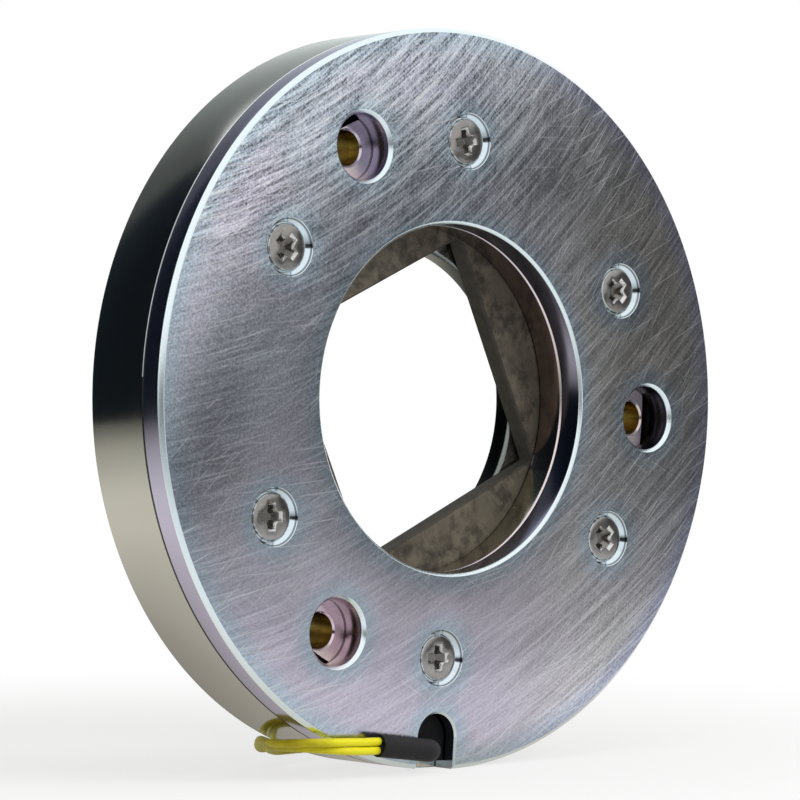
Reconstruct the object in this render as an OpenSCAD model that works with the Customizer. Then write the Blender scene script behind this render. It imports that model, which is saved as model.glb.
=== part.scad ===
// Spring applied brake: a thin ring brake that bolts to the end of a motor.
// The face lies in the X-Z plane: +Z is up, the front looks along -Y, and the
// mounting face is on Y = 0. Each module draws its piece with the mounting face
// on z = 0 and the front upwards, and stand() turns it up on its rim.

/* [Body] */
// Thickness of the housing floor behind the friction disc
floor_t = 3.05; // [2.6:0.05:5]
// Thickness of the housing wall around the coil
wall_t = 2.2; // [1.2:0.1:4]
// Diameter of the hole through the housing floor
floor_bore_d = 38; // [32:0.5:41]
// Chamfer on the outer edges
edge_c = 0.5; // [0.1:0.1:0.8]
// Chamfer on the bores
bore_c = 0.35; // [0.1:0.05:0.6]

/* [Front plate] */
// Thickness of the front plate
plate_t = 3.4; // [3.2:0.1:6]
// Bore through the front plate and the magnet core
bore_d = 42.5; // [38:0.5:44]
// Diameter of the holes that let the mounting screws' heads through
access_d = 8; // [7:0.1:9]
// Chamfer on those holes
access_c = 0.45; // [0.1:0.05:0.8]
// Width of the lead slot
slot_w = 5.9; // [5:0.1:8]
// Depth of the lead slot, in from the rim
slot_depth = 6.8; // [5:0.1:8]
// Turn of the lead slot from straight down
slot_turn = -4.2; // [-12:0.1:12]

/* [Magnet] */
// Thickness of the magnet core's flange
core_t = 2.15; // [1.6:0.05:4]
// Wall of the nose that the core reaches into the armature
nose_wall = 2; // [1:0.1:2.4]
// Air gap that the armature closes when the coil is switched on
air_gap = 0.25; // [0.15:0.05:0.5]
// Radial depth of the coil's winding
coil_w = 4.55; // [3:0.05:8]
// Wall of the coil bobbin
bobbin_wall = 0.8; // [0.5:0.1:1.2]
// Thickness of the tape around the winding
tape_t = 0.25; // [0.1:0.05:0.3]

/* [Armature] */
// Thickness of the armature
armature_t = 1.5; // [1.2:0.1:4]

/* [Friction disc] */
// Thickness of the friction disc at its linings
disc_t = 3.1; // [2.4:0.1:6]
// Step down from the linings to the middle of the disc
hub_step = 0.25; // [0.1:0.05:0.5]
// Square hole for the drive hub, across the flats
square_af = 30.5; // [24:0.5:32]
// Turn of the square hole
square_turn = 24; // [0:1:89]

/* [Screws and sleeves] */
// Pitch circle of the plate screws
screw_pcd = 63; // [61:0.2:66]
// Thread diameter of the plate screws
screw_d = 3; // [2.5:0.1:3.4]
// Head diameter of the plate screws
screw_head_d = 5.5; // [5:0.1:6.2]
// Depth of the screw heads below the front face
screw_sink = 0.5; // [0.2:0.1:0.8]
// Height of the straight edge on the screw heads
head_rim = 0.25; // [0.1:0.05:0.3]
// Length of thread in the housing floor
screw_bite = 2.2; // [1.5:0.1:2.3]
// Wall of the spacers around the plate screws
spacer_wall = 0.9; // [0.5:0.1:1.1]
// Pitch circle of the mounting holes
mount_pcd = 66.6; // [65:0.1:72]
// Diameter of the mounting holes
mount_hole_d = 4.3; // [4.2:0.1:5]
// Wall of the sleeves in line with the mounting holes
sleeve_wall = 1.05; // [0.6:0.05:1.3]

/* [Springs] */
// Outer diameter of the springs
spring_d = 3; // [2.4:0.1:3.4]
// Wire of the springs
spring_wire = 0.4; // [0.3:0.05:0.5]
// Depth of the spring pockets in the front plate
pocket_depth = 1.2; // [0.8:0.1:1.6]

/* [Lead] */
// Diameter of each lead wire
wire_d = 1; // [0.8:0.05:1]
// Diameter of the shrink sleeve on the lead
shrink_d = 2.75; // [2.4:0.05:3]
// Length of the shrink sleeve outside its bend
shrink_len = 7.2; // [5:0.1:8.5]
// Bend of the shrink sleeve where it leaves the slot
shrink_bend = 2.2; // [2:0.1:2.3]

/* [Clearances] */
// Gap between faces that rest on each other
face_clr = 0.02; // [0.01:0.01:0.04]
// Gap around fixed pieces that drop into place
seat_clr = 0.1; // [0.05:0.01:0.15]
// Gap around pieces that the armature or the disc passes
run_clr = 0.3; // [0.2:0.05:0.4]

/* [Hidden] */
$fn = 96;
screw_count = 6;
mount_count = 3;
spring_count = 6;
// How far cuts run past the faces they open on
past = 1;

// Heights above the mounting face
disc_z = floor_t + face_clr;
armature_z = disc_z + disc_t + face_clr;
core_z = armature_z + armature_t + air_gap;
plate_z = core_z + core_t;
front_z = plate_z + plate_t;
nose_z = disc_z + disc_t - hub_step + face_clr * 5;

// Radii, from the bore outwards
bore_r = bore_d / 2;
nose_r = bore_r + nose_wall;
armature_r0 = nose_r + run_clr;
screw_r = screw_pcd / 2;
spacer_r0 = screw_d / 2 + seat_clr;
spacer_r = spacer_r0 + spacer_wall;
disc_r = screw_r - spacer_r - run_clr;
pocket_r = spring_d / 2 + run_clr / 2;
spring_r = (nose_r + screw_r - spacer_r) / 2;
mount_r = mount_pcd / 2;
mount_hole_r = mount_hole_d / 2;
sleeve_r = mount_hole_r + sleeve_wall;
core_r = mount_r + mount_hole_r + run_clr;
armature_r = core_r - run_clr;
bobbin_r0 = mount_r + sleeve_r + run_clr;
coil_r0 = bobbin_r0 + bobbin_wall;
coil_r = coil_r0 + coil_w;
bobbin_r = coil_r + tape_t + seat_clr;
cavity_r = bobbin_r + run_clr;
outer_r = cavity_r + wall_t;

// Turns about the brake's axis, counted from the lead slot
slot_angle = 270 + slot_turn;
function screw_angle(i) = slot_angle + 360 * i / screw_count;
function mount_angle(i) = slot_angle + 180 / screw_count * 3 + 360 * i / mount_count;
// How far each screw's cross has turned
cross_turn = [4, 79, 22, 16, 82, 64];

// Lead slot and the boss that fills its foot
slot_r = slot_w / 2;
slot_centre = outer_r - slot_depth + slot_r;
boss_r = slot_r - seat_clr * 2;
boss_end = outer_r - edge_c * 2;
boss_z = front_z - plate_t / 2 - seat_clr * 2;

// Shrink sleeve: up out of the slot, then along the face to the left
shrink_r = shrink_d / 2;
shrink_out = boss_end - shrink_r;
shrink_side = slot_r - shrink_r - run_clr;
shrink_aim = 172;
shrink_z = front_z + shrink_r + seat_clr;

// Coils of spare lead on the surface behind the brake
ground = -45;
tie_t = 0.4;
tie_w = 1.6;
// Room for the coil's curve inside a tie
tie_bow = 0.1;
lead_coil_r = 6;
lead_pitch = wire_d + 0.05;
lead_base = ground + tie_t + face_clr;
coil_a_at = [25, -12.5];
coil_a_turns = 4.5;
coil_b_at = [10, -12.5];
coil_b_turns = 5;
end_len = 5;
end_r = 0.3;

// Route of the upper wire, from the shrink sleeve to its coil
route_a = [
    [-13.65, -40.62, 15], [-16, -40.53, 15], [-18.4, -40.39, 14.95], [-20.5, -40.31, 14.55],
    [-22.15, -40.32, 13.5], [-23.25, -40.41, 11.9], [-23.72, -40.57, 9.9], [-23.6, -40.72, 7.8],
    [-22.95, -40.81, 5.6], [-21.9, -40.83, 3.3], [-20.6, -41, 1.2], [-19.25, -41.4, -0.7],
    [-17.9, -41.95, -2.5], [-16.4, -42.5, -4.3], [-14.6, -43, -6.1], [-12.3, -43.3, -8],
    [-9.4, -43.6, -10], [-6.2, -43.8, -12.1], [-2.6, -43.95, -14.4], [1, -44.05, -16.6],
    [4.6, -44.05, -18.6], [8.4, -44, -20.1], [12, -44, -20.7], [16, -44, -20.4],
    [20, -44, -19.4], [25, -44, -18.5]
];
// Route of the lower wire
route_b = [
    [-13.8, -41.68, 15], [-16.3, -41.58, 15], [-18.3, -41.43, 14.8], [-20.05, -41.29, 14],
    [-21.35, -41.18, 12.6], [-22.1, -41.15, 10.9], [-22.35, -41.21, 9], [-22.25, -41.33, 7],
    [-21.75, -41.5, 5], [-20.75, -41.75, 2.7], [-19.2, -42.1, 0.7], [-17.6, -42.4, -1.2],
    [-15.9, -42.75, -2.9], [-14, -43.2, -4.5], [-11.8, -43.5, -5.9], [-9, -43.6, -6.7],
    [-5.6, -43.7, -7.1], [-2, -43.85, -7.1], [1.6, -43.95, -6.9], [5, -44, -6.7],
    [10, -44, -6.5]
];

zinc = "#a9adb3";
steel = "#c8c9c6";

// Shared shapes

module stand() {
    rotate([90, 0, 0]) children();
}

module at_polar(r, angle) {
    rotate([0, 0, angle]) translate([r, 0, 0]) children();
}

module at_screws(r = screw_r) {
    for (i = [0 : screw_count - 1]) at_polar(r, screw_angle(i)) children();
}

module at_mounts() {
    for (i = [0 : mount_count - 1]) at_polar(mount_r, mount_angle(i)) children();
}

// Straight hole from z = 0 up to h, open past both ends
module hole(r, h) {
    translate([0, 0, -past]) cylinder(r = r, h = h + 2 * past);
}

// Chamfer cut around a hole whose mouth is on z = 0, facing up
module mouth(r, c) {
    translate([0, 0, -c]) cylinder(r1 = r, r2 = r + 2 * c, h = 2 * c);
}

module washer(r0, r, h) {
    difference() {
        cylinder(r = r, h = h);
        hole(r0, h);
    }
}

// Outline of the lead slot, running out along +x
module slot_outline(r, centre, end) {
    translate([centre, 0]) circle(r = r);
    translate([centre, -r]) square([end - centre, 2 * r]);
}

function unit(v) = v / norm(v);
function along(p, i) = unit(p[min(i + 1, len(p) - 1)] - p[max(i - 1, 0)]);
function ring(p, i, r, sides, up) =
    let (t = along(p, i), a = unit(cross(up, t)), b = cross(t, a))
    [for (k = [0 : sides - 1]) p[i] + r * (cos(360 * k / sides) * a + sin(360 * k / sides) * b)];

// Round tube swept along points; up is never along the path
module tube(p, r, sides, up) {
    n = len(p);
    points = [for (i = [0 : n - 1]) each ring(p, i, r, sides, up)];
    walls = [
        for (i = [0 : n - 2], k = [0 : sides - 1])
            let (m = (k + 1) % sides, low = i * sides, high = low + sides)
            each [[low + k, high + k, high + m], [low + k, high + m, low + m]]
    ];
    first = [for (k = [0 : sides - 1]) k];
    last = [for (k = [sides - 1 : -1 : 0]) (n - 1) * sides + k];
    polyhedron(points = points, faces = concat([first], walls, [last]));
}

// Housing: a turned cup with its floor at the mounting face

module housing() {
    c = bore_c;
    r0 = floor_bore_d / 2;
    color(zinc) stand() difference() {
        rotate_extrude() polygon([
            [r0 + c, 0], [outer_r - edge_c, 0], [outer_r, edge_c], [outer_r, plate_z],
            [cavity_r, plate_z], [cavity_r, floor_t], [r0 + c, floor_t], [r0, floor_t - c], [r0, c]
        ]);
        at_screws() translate([0, 0, floor_t - screw_bite - seat_clr])
            cylinder(r = screw_d / 2 + face_clr, h = floor_t);
        at_mounts() hole(mount_hole_r, floor_t);
        at_mounts() translate([0, 0, floor_t / 2]) cylinder(r = sleeve_r + face_clr, h = floor_t);
    }
}

// Front plate, with the screws' countersinks, the access holes and the lead slot

module front_plate() {
    c = bore_c;
    csk = screw_head_d / 2 + head_rim + screw_sink;
    color(zinc) stand() translate([0, 0, plate_z]) difference() {
        rotate_extrude() polygon([
            [bore_r, 0], [outer_r - c / 2, 0], [outer_r, c / 2], [outer_r, plate_t - edge_c],
            [outer_r - edge_c, plate_t], [bore_r + c, plate_t], [bore_r, plate_t - c]
        ]);
        at_mounts() hole(access_d / 2, plate_t);
        at_mounts() translate([0, 0, plate_t]) mouth(access_d / 2, access_c);
        at_screws() hole(spacer_r0, plate_t);
        at_screws() translate([0, 0, plate_t - csk]) cylinder(r1 = 0, r2 = 2 * csk, h = 2 * csk);
        at_screws(spring_r) translate([0, 0, -past]) cylinder(r = pocket_r, h = past + pocket_depth);
        rotate([0, 0, slot_angle]) lead_slot();
    }
}

module lead_slot() {
    translate([0, 0, -past]) linear_extrude(plate_t + 2 * past)
        slot_outline(slot_r, slot_centre, outer_r + past);
}

// Magnet core: the inner pole, with a nose that runs down inside the armature

module magnet_core() {
    c = bore_c;
    color(zinc) stand() difference() {
        rotate_extrude() polygon([
            [bore_r, nose_z], [nose_r, nose_z], [nose_r, core_z], [core_r, core_z],
            [core_r, plate_z], [bore_r + c, plate_z], [bore_r, plate_z - c]
        ]);
        translate([0, 0, core_z]) {
            at_screws() hole(spacer_r0, core_t);
            at_screws(spring_r) hole(pocket_r, core_t);
            at_mounts() hole(mount_hole_r, core_t);
            at_mounts() translate([0, 0, core_t]) mouth(mount_hole_r, run_clr * 0.7);
        }
    }
}

// Armature: slides on the spacers, notched around the mounting sleeves

module armature() {
    color("#8d9094") stand() translate([0, 0, armature_z]) difference() {
        washer(armature_r0, armature_r, armature_t);
        at_screws() hole(spacer_r + run_clr / 2, armature_t);
        at_mounts() hole(sleeve_r + run_clr / 2, armature_t);
    }
}

// Friction disc: moulded in one piece, stepped down inside its linings

module friction_disc() {
    r0 = 1;
    top = disc_z + disc_t;
    color("#6f675c") stand() difference() {
        rotate_extrude() polygon([
            [r0, disc_z + hub_step], [armature_r0, disc_z + hub_step], [armature_r0, disc_z],
            [disc_r, disc_z], [disc_r, top], [armature_r0, top], [armature_r0, top - hub_step],
            [r0, top - hub_step]
        ]);
        rotate([0, 0, square_turn]) translate([-square_af / 2, -square_af / 2, 0])
            cube([square_af, square_af, top + past]);
    }
}

// Coil: a bobbin with a boss for the lead, its winding and the tape around it

module coil_bobbin() {
    w = bobbin_wall;
    low = floor_t + seat_clr;
    top = plate_z - seat_clr;
    color("#17171a") stand() {
        rotate_extrude() polygon([
            [bobbin_r0, low], [bobbin_r, low], [bobbin_r, low + w], [coil_r0, low + w],
            [coil_r0, top - w], [bobbin_r, top - w], [bobbin_r, top], [bobbin_r0, top]
        ]);
        rotate([0, 0, slot_angle]) {
            translate([0, 0, top - w / 2]) linear_extrude(plate_z + face_clr - top + w / 2)
                slot_outline(boss_r, slot_centre, bobbin_r - seat_clr * 4);
            translate([0, 0, plate_z + face_clr]) linear_extrude(boss_z - plate_z - face_clr)
                slot_outline(boss_r, slot_centre, boss_end);
        }
    }
}

module coil_layer(r0, r) {
    low = floor_t + seat_clr + bobbin_wall + face_clr;
    top = plate_z - seat_clr - bobbin_wall - face_clr;
    stand() translate([0, 0, low]) washer(r0, r, top - low);
}

module coil_winding() {
    color("#b0603a") coil_layer(coil_r0 + face_clr, coil_r);
}

module coil_tape() {
    color("#d8c48a") coil_layer(coil_r + face_clr, coil_r + tape_t);
}

// Springs between the front plate and the armature

module spring(i) {
    turns = 4.5;
    steps = 12;
    low = armature_z + armature_t + face_clr + spring_wire / 2;
    top = plate_z + pocket_depth - face_clr - spring_wire / 2;
    r = (spring_d - spring_wire) / 2;
    path = [
        for (k = [0 : turns * steps])
            [r * cos(360 * k / steps), r * sin(360 * k / steps), low + (top - low) * k / (turns * steps)]
    ];
    color("#9c9a94") stand() at_polar(spring_r, screw_angle(i))
        tube(path, spring_wire / 2, 6, [0, 0, 1]);
}

// Spacers around the plate screws, and sleeves in line with the mounting holes

module spacer(i) {
    color(steel) stand() at_polar(screw_r, screw_angle(i)) translate([0, 0, floor_t + face_clr])
        washer(spacer_r0, spacer_r, core_z - floor_t - 2 * face_clr);
}

module mounting_sleeve(i) {
    low = floor_t / 2 + face_clr;
    color(steel) stand() at_polar(mount_r, mount_angle(i)) translate([0, 0, low])
        washer(mount_hole_r, sleeve_r, core_z - low - face_clr);
}

// Plate screws: countersunk, with a cross recess, down into the housing floor

module plate_screw(turn) {
    head_r = screw_head_d / 2;
    shank_r = screw_d / 2;
    top = front_z - screw_sink;
    edge = top - head_rim + face_clr * 2;
    tip = floor_t - screw_bite;
    cone = head_r - shank_r;
    cross_w = screw_head_d * 0.13;
    cross_l = screw_head_d * 0.56;
    cross_h = screw_head_d * 0.2;
    difference() {
        rotate_extrude() polygon([
            [0, tip], [shank_r - 0.4, tip], [shank_r, tip + 0.4], [shank_r, edge - cone],
            [head_r, edge], [head_r, top], [0, top]
        ]);
        translate([0, 0, top]) rotate([0, 0, turn]) for (a = [0, 90]) rotate([0, 0, a])
            cube([cross_l, cross_w, 2 * cross_h], center = true);
        translate([0, 0, top - cross_h * 1.5]) cylinder(r1 = 0.1, r2 = cross_l * 0.36, h = cross_h * 2);
    }
}

module plate_screws() {
    color(steel) stand() for (i = [0 : screw_count - 1])
        at_polar(screw_r, screw_angle(i)) plate_screw(cross_turn[i]);
}

// Lead: a shrink sleeve out of the slot, two wires and their coils of spare length

module lead_sleeve() {
    bend_z = shrink_z - shrink_bend;
    color("#2b2a2d") stand() rotate([0, 0, slot_angle]) translate([shrink_out, -shrink_side, 0])
        rotate([0, 0, shrink_aim - slot_angle]) {
            translate([0, 0, boss_z + face_clr]) cylinder(r = shrink_r, h = bend_z - boss_z - face_clr);
            translate([shrink_bend, 0, bend_z]) rotate([90, 0, 0]) rotate([0, 0, 90])
                rotate_extrude(angle = 90) translate([shrink_bend, 0]) circle(r = shrink_r);
            translate([shrink_bend, 0, shrink_z]) rotate([0, 90, 0]) cylinder(r = shrink_r, h = shrink_len);
        }
}

module lead_wire(route) {
    color("#e8dc3c") stand() tube(route, wire_d / 2, 8, [0, 1, 0]);
}

// Turns a shape drawn around the z axis onto a coil's place on the ground
module at_coil(place, height) {
    translate([place[0], height, place[1]]) rotate([-90, 0, 0]) children();
}

function coil_height(turns) = turns * lead_pitch + wire_d;

module lead_coil(place, turns) {
    color("#e8dc3c") stand() at_coil(place, lead_base)
        washer(lead_coil_r - wire_d / 2, lead_coil_r + wire_d / 2, coil_height(turns));
}

module lead_tie(place, turns) {
    inner = wire_d + 2 * tie_bow;
    high = coil_height(turns) + 2 * face_clr;
    color("#1b1b1d") stand() at_coil(place, lead_base - face_clr) translate([lead_coil_r, 0, 0])
        rotate([90, 0, 0]) translate([0, 0, -tie_w / 2]) linear_extrude(tie_w) difference() {
            translate([-inner / 2 - tie_t, -tie_t]) square([inner + 2 * tie_t, high + 2 * tie_t]);
            translate([-inner / 2, 0]) square([inner, high]);
        }
}

// Bare end of a wire, straight on from its last turn; hand is 1 or -1, the way it is wound
module lead_end(place, turns, hand) {
    color(steel) stand() at_coil(place, lead_base + coil_height(turns) + end_r + face_clr)
        rotate([0, 0, -hand * 360 * turns]) translate([0, hand * lead_coil_r, 0]) rotate([0, 90, 0])
            cylinder(r = end_r, h = end_len);
}

housing();
front_plate();
magnet_core();
armature();
friction_disc();
coil_bobbin();
coil_winding();
coil_tape();
for (i = [0 : spring_count - 1])
    spring(i);
for (i = [0 : screw_count - 1])
    spacer(i);
for (i = [0 : mount_count - 1])
    mounting_sleeve(i);
plate_screws();
lead_sleeve();
lead_wire(route_a);  // lead_wire_a
lead_wire(route_b);  // lead_wire_b
lead_coil(coil_a_at, coil_a_turns);  // lead_coil_a
lead_coil(coil_b_at, coil_b_turns);  // lead_coil_b
lead_tie(coil_a_at, coil_a_turns);  // lead_tie_a
lead_tie(coil_b_at, coil_b_turns);  // lead_tie_b
lead_end(coil_a_at, coil_a_turns, 1);  // lead_end_a
lead_end(coil_b_at, coil_b_turns, -1);  // lead_end_b
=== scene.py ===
import math

import bmesh
import bpy
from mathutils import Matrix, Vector


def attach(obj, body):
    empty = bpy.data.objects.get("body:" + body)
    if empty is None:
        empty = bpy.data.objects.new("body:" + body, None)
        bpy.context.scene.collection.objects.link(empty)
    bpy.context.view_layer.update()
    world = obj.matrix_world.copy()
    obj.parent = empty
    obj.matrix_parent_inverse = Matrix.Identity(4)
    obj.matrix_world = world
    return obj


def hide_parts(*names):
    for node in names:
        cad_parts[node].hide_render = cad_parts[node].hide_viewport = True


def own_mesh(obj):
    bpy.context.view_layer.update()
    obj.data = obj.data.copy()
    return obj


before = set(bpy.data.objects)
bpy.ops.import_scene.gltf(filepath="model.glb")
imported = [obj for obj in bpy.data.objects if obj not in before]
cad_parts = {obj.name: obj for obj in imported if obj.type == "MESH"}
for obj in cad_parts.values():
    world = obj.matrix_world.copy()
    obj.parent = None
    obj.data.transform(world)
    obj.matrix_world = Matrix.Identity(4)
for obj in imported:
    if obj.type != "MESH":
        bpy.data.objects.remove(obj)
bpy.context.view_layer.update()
scene = bpy.context.scene
scene.view_settings.view_transform = "Standard"
mm = 0.001
print("frame loaded:", len(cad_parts), "nodes")

# heights and radii that several pieces share, in mm, z up from the mounting face
brake = {
    "floorT": 3.05, "discZ": 3.07, "discT": 3.1, "hubStep": 0.25,
    "coreZ": 7.94, "noseZ": 6.02, "plateZ": 10.09, "frontZ": 13.49,
    "boreR": 21.25, "noseR": 23.25, "coreR": 35.75, "cavityR": 42.8, "outerR": 45.0, "floorBoreR": 19.0,
    "screwR": 31.5, "screwHoleR": 1.6, "mountR": 33.3, "mountHoleR": 2.15,
    "springR": 26.125, "pocketR": 1.65, "slotAngle": 265.8, "boreChamfer": 0.35, "edgeChamfer": 0.5,
}
steep, level = 0.3, 0.93  # a wall's normal has less height than steep, a flat face's has more than level
nearWall, nearHole = 0.1, 0.3  # slack in mm when the faces of a wall or of a hole are told apart
drillSteps = 40


# Shared tools

def place(x, y, z):  # brake axes in mm to the row frame in metres
    return Vector((x, -z, y)) * mm


def polar(r, angle):
    return r * math.cos(math.radians(angle)), r * math.sin(math.radians(angle))


def turned(points, angle):
    c, s = math.cos(math.radians(angle)), math.sin(math.radians(angle))
    return [(x * c - y * s, x * s + y * c) for x, y in points]


def ringSpots(r, count, first):  # even places round a circle
    return [polar(r, first + 360 / count * i) for i in range(count)]


screwSpots = ringSpots(brake["screwR"], 6, brake["slotAngle"])
springSpots = ringSpots(brake["springR"], 6, brake["slotAngle"])
mountSpots = ringSpots(brake["mountR"], 3, brake["slotAngle"] + 90)


def easeCorners(profile, ease, steps=3):  # rounds each corner of a closed outline
    out = []
    count = len(profile)
    for i, point in enumerate(profile):
        here = Vector(point)
        before, after = Vector(profile[i - 1]), Vector(profile[(i + 1) % count])
        reach = min(ease, 0.4 * (before - here).length, 0.4 * (after - here).length)
        a = here + (before - here).normalized() * reach
        b = here + (after - here).normalized() * reach
        for k in range(steps + 1):
            t = k / steps
            out.append(tuple(a * (1 - t) ** 2 + here * 2 * t * (1 - t) + b * t * t))
    return out


def boxOutline(halfX, low, high, ease, steps=3):
    return easeCorners([(-halfX, low), (halfX, low), (halfX, high), (-halfX, high)], ease, steps)


def lathe(bm, profile, steps, at=(0.0, 0.0)):  # turns a closed outline of (radius, height)
    rings = []
    for r, z in profile:
        if r < 1e-6:
            rings.append([bm.verts.new(place(at[0], at[1], z))])
            continue
        ring = []
        for k in range(steps):
            x, y = polar(r, 360 * k / steps)
            ring.append(bm.verts.new(place(at[0] + x, at[1] + y, z)))
        rings.append(ring)
    for a, b in zip(rings, rings[1:] + rings[:1]):
        for k in range(steps):
            m = (k + 1) % steps
            corners = list(dict.fromkeys([a[k % len(a)], a[m % len(a)], b[m % len(b)], b[k % len(b)]]))
            if len(corners) > 2:
                bm.faces.new(corners)
    return bm


def drill(bm, r, low, high, at):  # a plain round cutter
    return lathe(bm, [(0, low), (r, low), (r, high), (0, high)], drillSteps, at)


def skin(bm, rings, closed=False):  # faces from ring to ring, which meet again or get two end faces
    for a, b in zip(rings, rings[1:] + rings[:1] if closed else rings[1:]):
        for k in range(len(a)):
            m = (k + 1) % len(a)
            bm.faces.new([a[k], a[m], b[m], b[k]])
    if not closed:
        bm.faces.new(rings[0])
        bm.faces.new(rings[-1])
    return bm


def loft(bm, layers):  # joins outlines with the same number of points
    return skin(bm, [[bm.verts.new(p) for p in layer] for layer in layers])


def sweep(bm, path, radii, sides, up=Vector((0, 0, 1))):  # tube along points in metres
    rings = []
    for i, point in enumerate(path):
        along = (path[min(i + 1, len(path) - 1)] - path[max(i - 1, 0)]).normalized()
        a = up.cross(along).normalized()
        b = along.cross(a)
        ring = []
        for k in range(sides):
            w = 2 * math.pi * k / sides
            ring.append(bm.verts.new(point + radii[i] * (math.cos(w) * a + math.sin(w) * b)))
        rings.append(ring)
    return skin(bm, rings)


def newObject(name, data):
    obj = bpy.data.objects.new(name, data)
    scene.collection.objects.link(obj)
    return obj


def meshObject(name, bm):
    bmesh.ops.recalc_face_normals(bm, faces=bm.faces)
    mesh = bpy.data.meshes.new(name)
    bm.to_mesh(mesh)
    bm.free()
    return newObject(name, mesh)


def evaluated(obj):  # the finished mesh, with the modifiers gone
    deps = bpy.context.evaluated_depsgraph_get()
    mesh = bpy.data.meshes.new_from_object(obj.evaluated_get(deps))
    obj.modifiers.clear()
    obj.data = mesh
    mesh.name = obj.name
    return obj


def smoothShade(obj, angle=32):
    bm = bmesh.new()
    bm.from_mesh(obj.data)
    bmesh.ops.remove_doubles(bm, verts=bm.verts, dist=1e-7)
    bmesh.ops.dissolve_degenerate(bm, edges=bm.edges, dist=1e-8)
    bm.to_mesh(obj.data)
    bm.free()
    obj.data.polygons.foreach_set("use_smooth", [True] * len(obj.data.polygons))
    obj.data.set_sharp_from_angle(angle=math.radians(angle))
    return obj


def cutAway(obj, bmTool, angle=32):
    tool = meshObject("tool", bmTool)
    cut = obj.modifiers.new("cut", "BOOLEAN")
    cut.operation = "DIFFERENCE"
    cut.solver = "EXACT"
    cut.object = tool
    bpy.context.view_layer.update()
    evaluated(obj)
    bpy.data.objects.remove(tool)
    return smoothShade(obj, angle)


def markZones(obj, names, zoneOf):  # stores two numbers on each face: its zone, and 1 where it lies flat
    numbers = {name: float(k) for k, name in enumerate(names, 1)}
    zones, flats = [], []
    for face in obj.data.polygons:
        x, y, z = (c / mm for c in face.center)
        n = face.normal
        zones.append(numbers.get(zoneOf(x, z, -y, Vector((n.x, n.z, -n.y))), 0.0))
        flats.append(1.0 if abs(n.y) > 0.95 else 0.0)
    for name, values in (("zone", zones), ("flat", flats)):
        obj.data.attributes.new(name, "FLOAT", "FACE").data.foreach_set("value", values)


def dress(obj, finish, body, slot, *nodes):
    obj.data.materials.clear()
    obj.data.materials.append(finish)
    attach(obj, body)
    if nodes:
        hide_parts(*nodes)
    return obj


# Node helpers for the finishes

def newFinish(name, **sockets):
    finish = bpy.data.materials.new(name)
    finish.use_nodes = True
    shader = finish.node_tree.nodes["Principled BSDF"]
    for key, value in sockets.items():
        shader.inputs[key].default_value = value
    return finish, finish.node_tree, shader


def node(tree, kind, **props):
    made = tree.nodes.new(kind)
    for key, value in props.items():
        setattr(made, key, value)
    return made


def feed(tree, target, value):  # a link, a number, or a colour that gets its alpha here
    if isinstance(value, bpy.types.NodeSocket):
        tree.links.new(value, target)
    elif target.type == "RGBA":
        target.default_value = (*value, 1.0)
    else:
        target.default_value = value


def math2(tree, operation, a, b=0.0):
    made = node(tree, "ShaderNodeMath", operation=operation)
    feed(tree, made.inputs[0], a)
    feed(tree, made.inputs[1], b)
    return made.outputs[0]


def sameNumber(tree, value, number):  # 1 where a face's number is this one
    made = node(tree, "ShaderNodeMath", operation="COMPARE")
    feed(tree, made.inputs[0], value)
    feed(tree, made.inputs[1], number)
    feed(tree, made.inputs[2], 0.4)
    return made.outputs[0]


def times(tree, a, b):
    return math2(tree, "MULTIPLY", a, b)


def plus(tree, a, b):
    return math2(tree, "ADD", a, b)


def minus(tree, a, b):
    return math2(tree, "SUBTRACT", a, b)


def most(tree, a, b):
    return math2(tree, "MAXIMUM", a, b)


def ramp(tree, value, low, high, toLow=0.0, toHigh=1.0, smooth=True):
    made = node(tree, "ShaderNodeMapRange", interpolation_type="SMOOTHSTEP" if smooth else "LINEAR")
    for k, v in enumerate((value, low, high, toLow, toHigh)):
        feed(tree, made.inputs[k], v)
    return made.outputs[0]


def span(tree, value, ends, toLow=0.0, toHigh=1.0):  # a ramp between two places in mm
    return ramp(tree, value, ends[0] * mm, ends[1] * mm, toLow, toHigh)


def mixColour(tree, share, a, b, blend="MIX"):
    made = node(tree, "ShaderNodeMix", data_type="RGBA", blend_type=blend)
    feed(tree, made.inputs[0], share)
    feed(tree, made.inputs[6], a)
    feed(tree, made.inputs[7], b)
    return made.outputs[2]


def objectCoords(tree):
    return node(tree, "ShaderNodeTexCoord").outputs["Object"]


def splitAxes(tree, coords):
    made = node(tree, "ShaderNodeSeparateXYZ")
    feed(tree, made.inputs[0], coords)
    return made.outputs


def distanceTo(tree, coords, point):
    made = node(tree, "ShaderNodeVectorMath", operation="DISTANCE")
    feed(tree, made.inputs[0], coords)
    made.inputs[1].default_value = point
    return made.outputs["Value"]


def faceNumber(tree, name):
    return node(tree, "ShaderNodeAttribute", attribute_name=name).outputs["Fac"]


def grain(tree, coords, size, detail=2.0, rough=0.5, at=(0, 0, 0), turn=(0, 0, 0)):  # size in mm
    scale = size if hasattr(size, "__len__") else (size,) * 3
    spot = node(tree, "ShaderNodeMapping", vector_type="TEXTURE")
    feed(tree, spot.inputs["Vector"], coords)
    spot.inputs["Location"].default_value = [c * mm for c in at]
    spot.inputs["Rotation"].default_value = [math.radians(c) for c in turn]
    spot.inputs["Scale"].default_value = [c * mm for c in scale]
    noise = node(tree, "ShaderNodeTexNoise")
    feed(tree, noise.inputs["Vector"], spot.outputs["Vector"])
    noise.inputs["Scale"].default_value = 1.0
    noise.inputs["Detail"].default_value = detail
    noise.inputs["Roughness"].default_value = rough
    return noise.outputs["Fac"]


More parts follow.
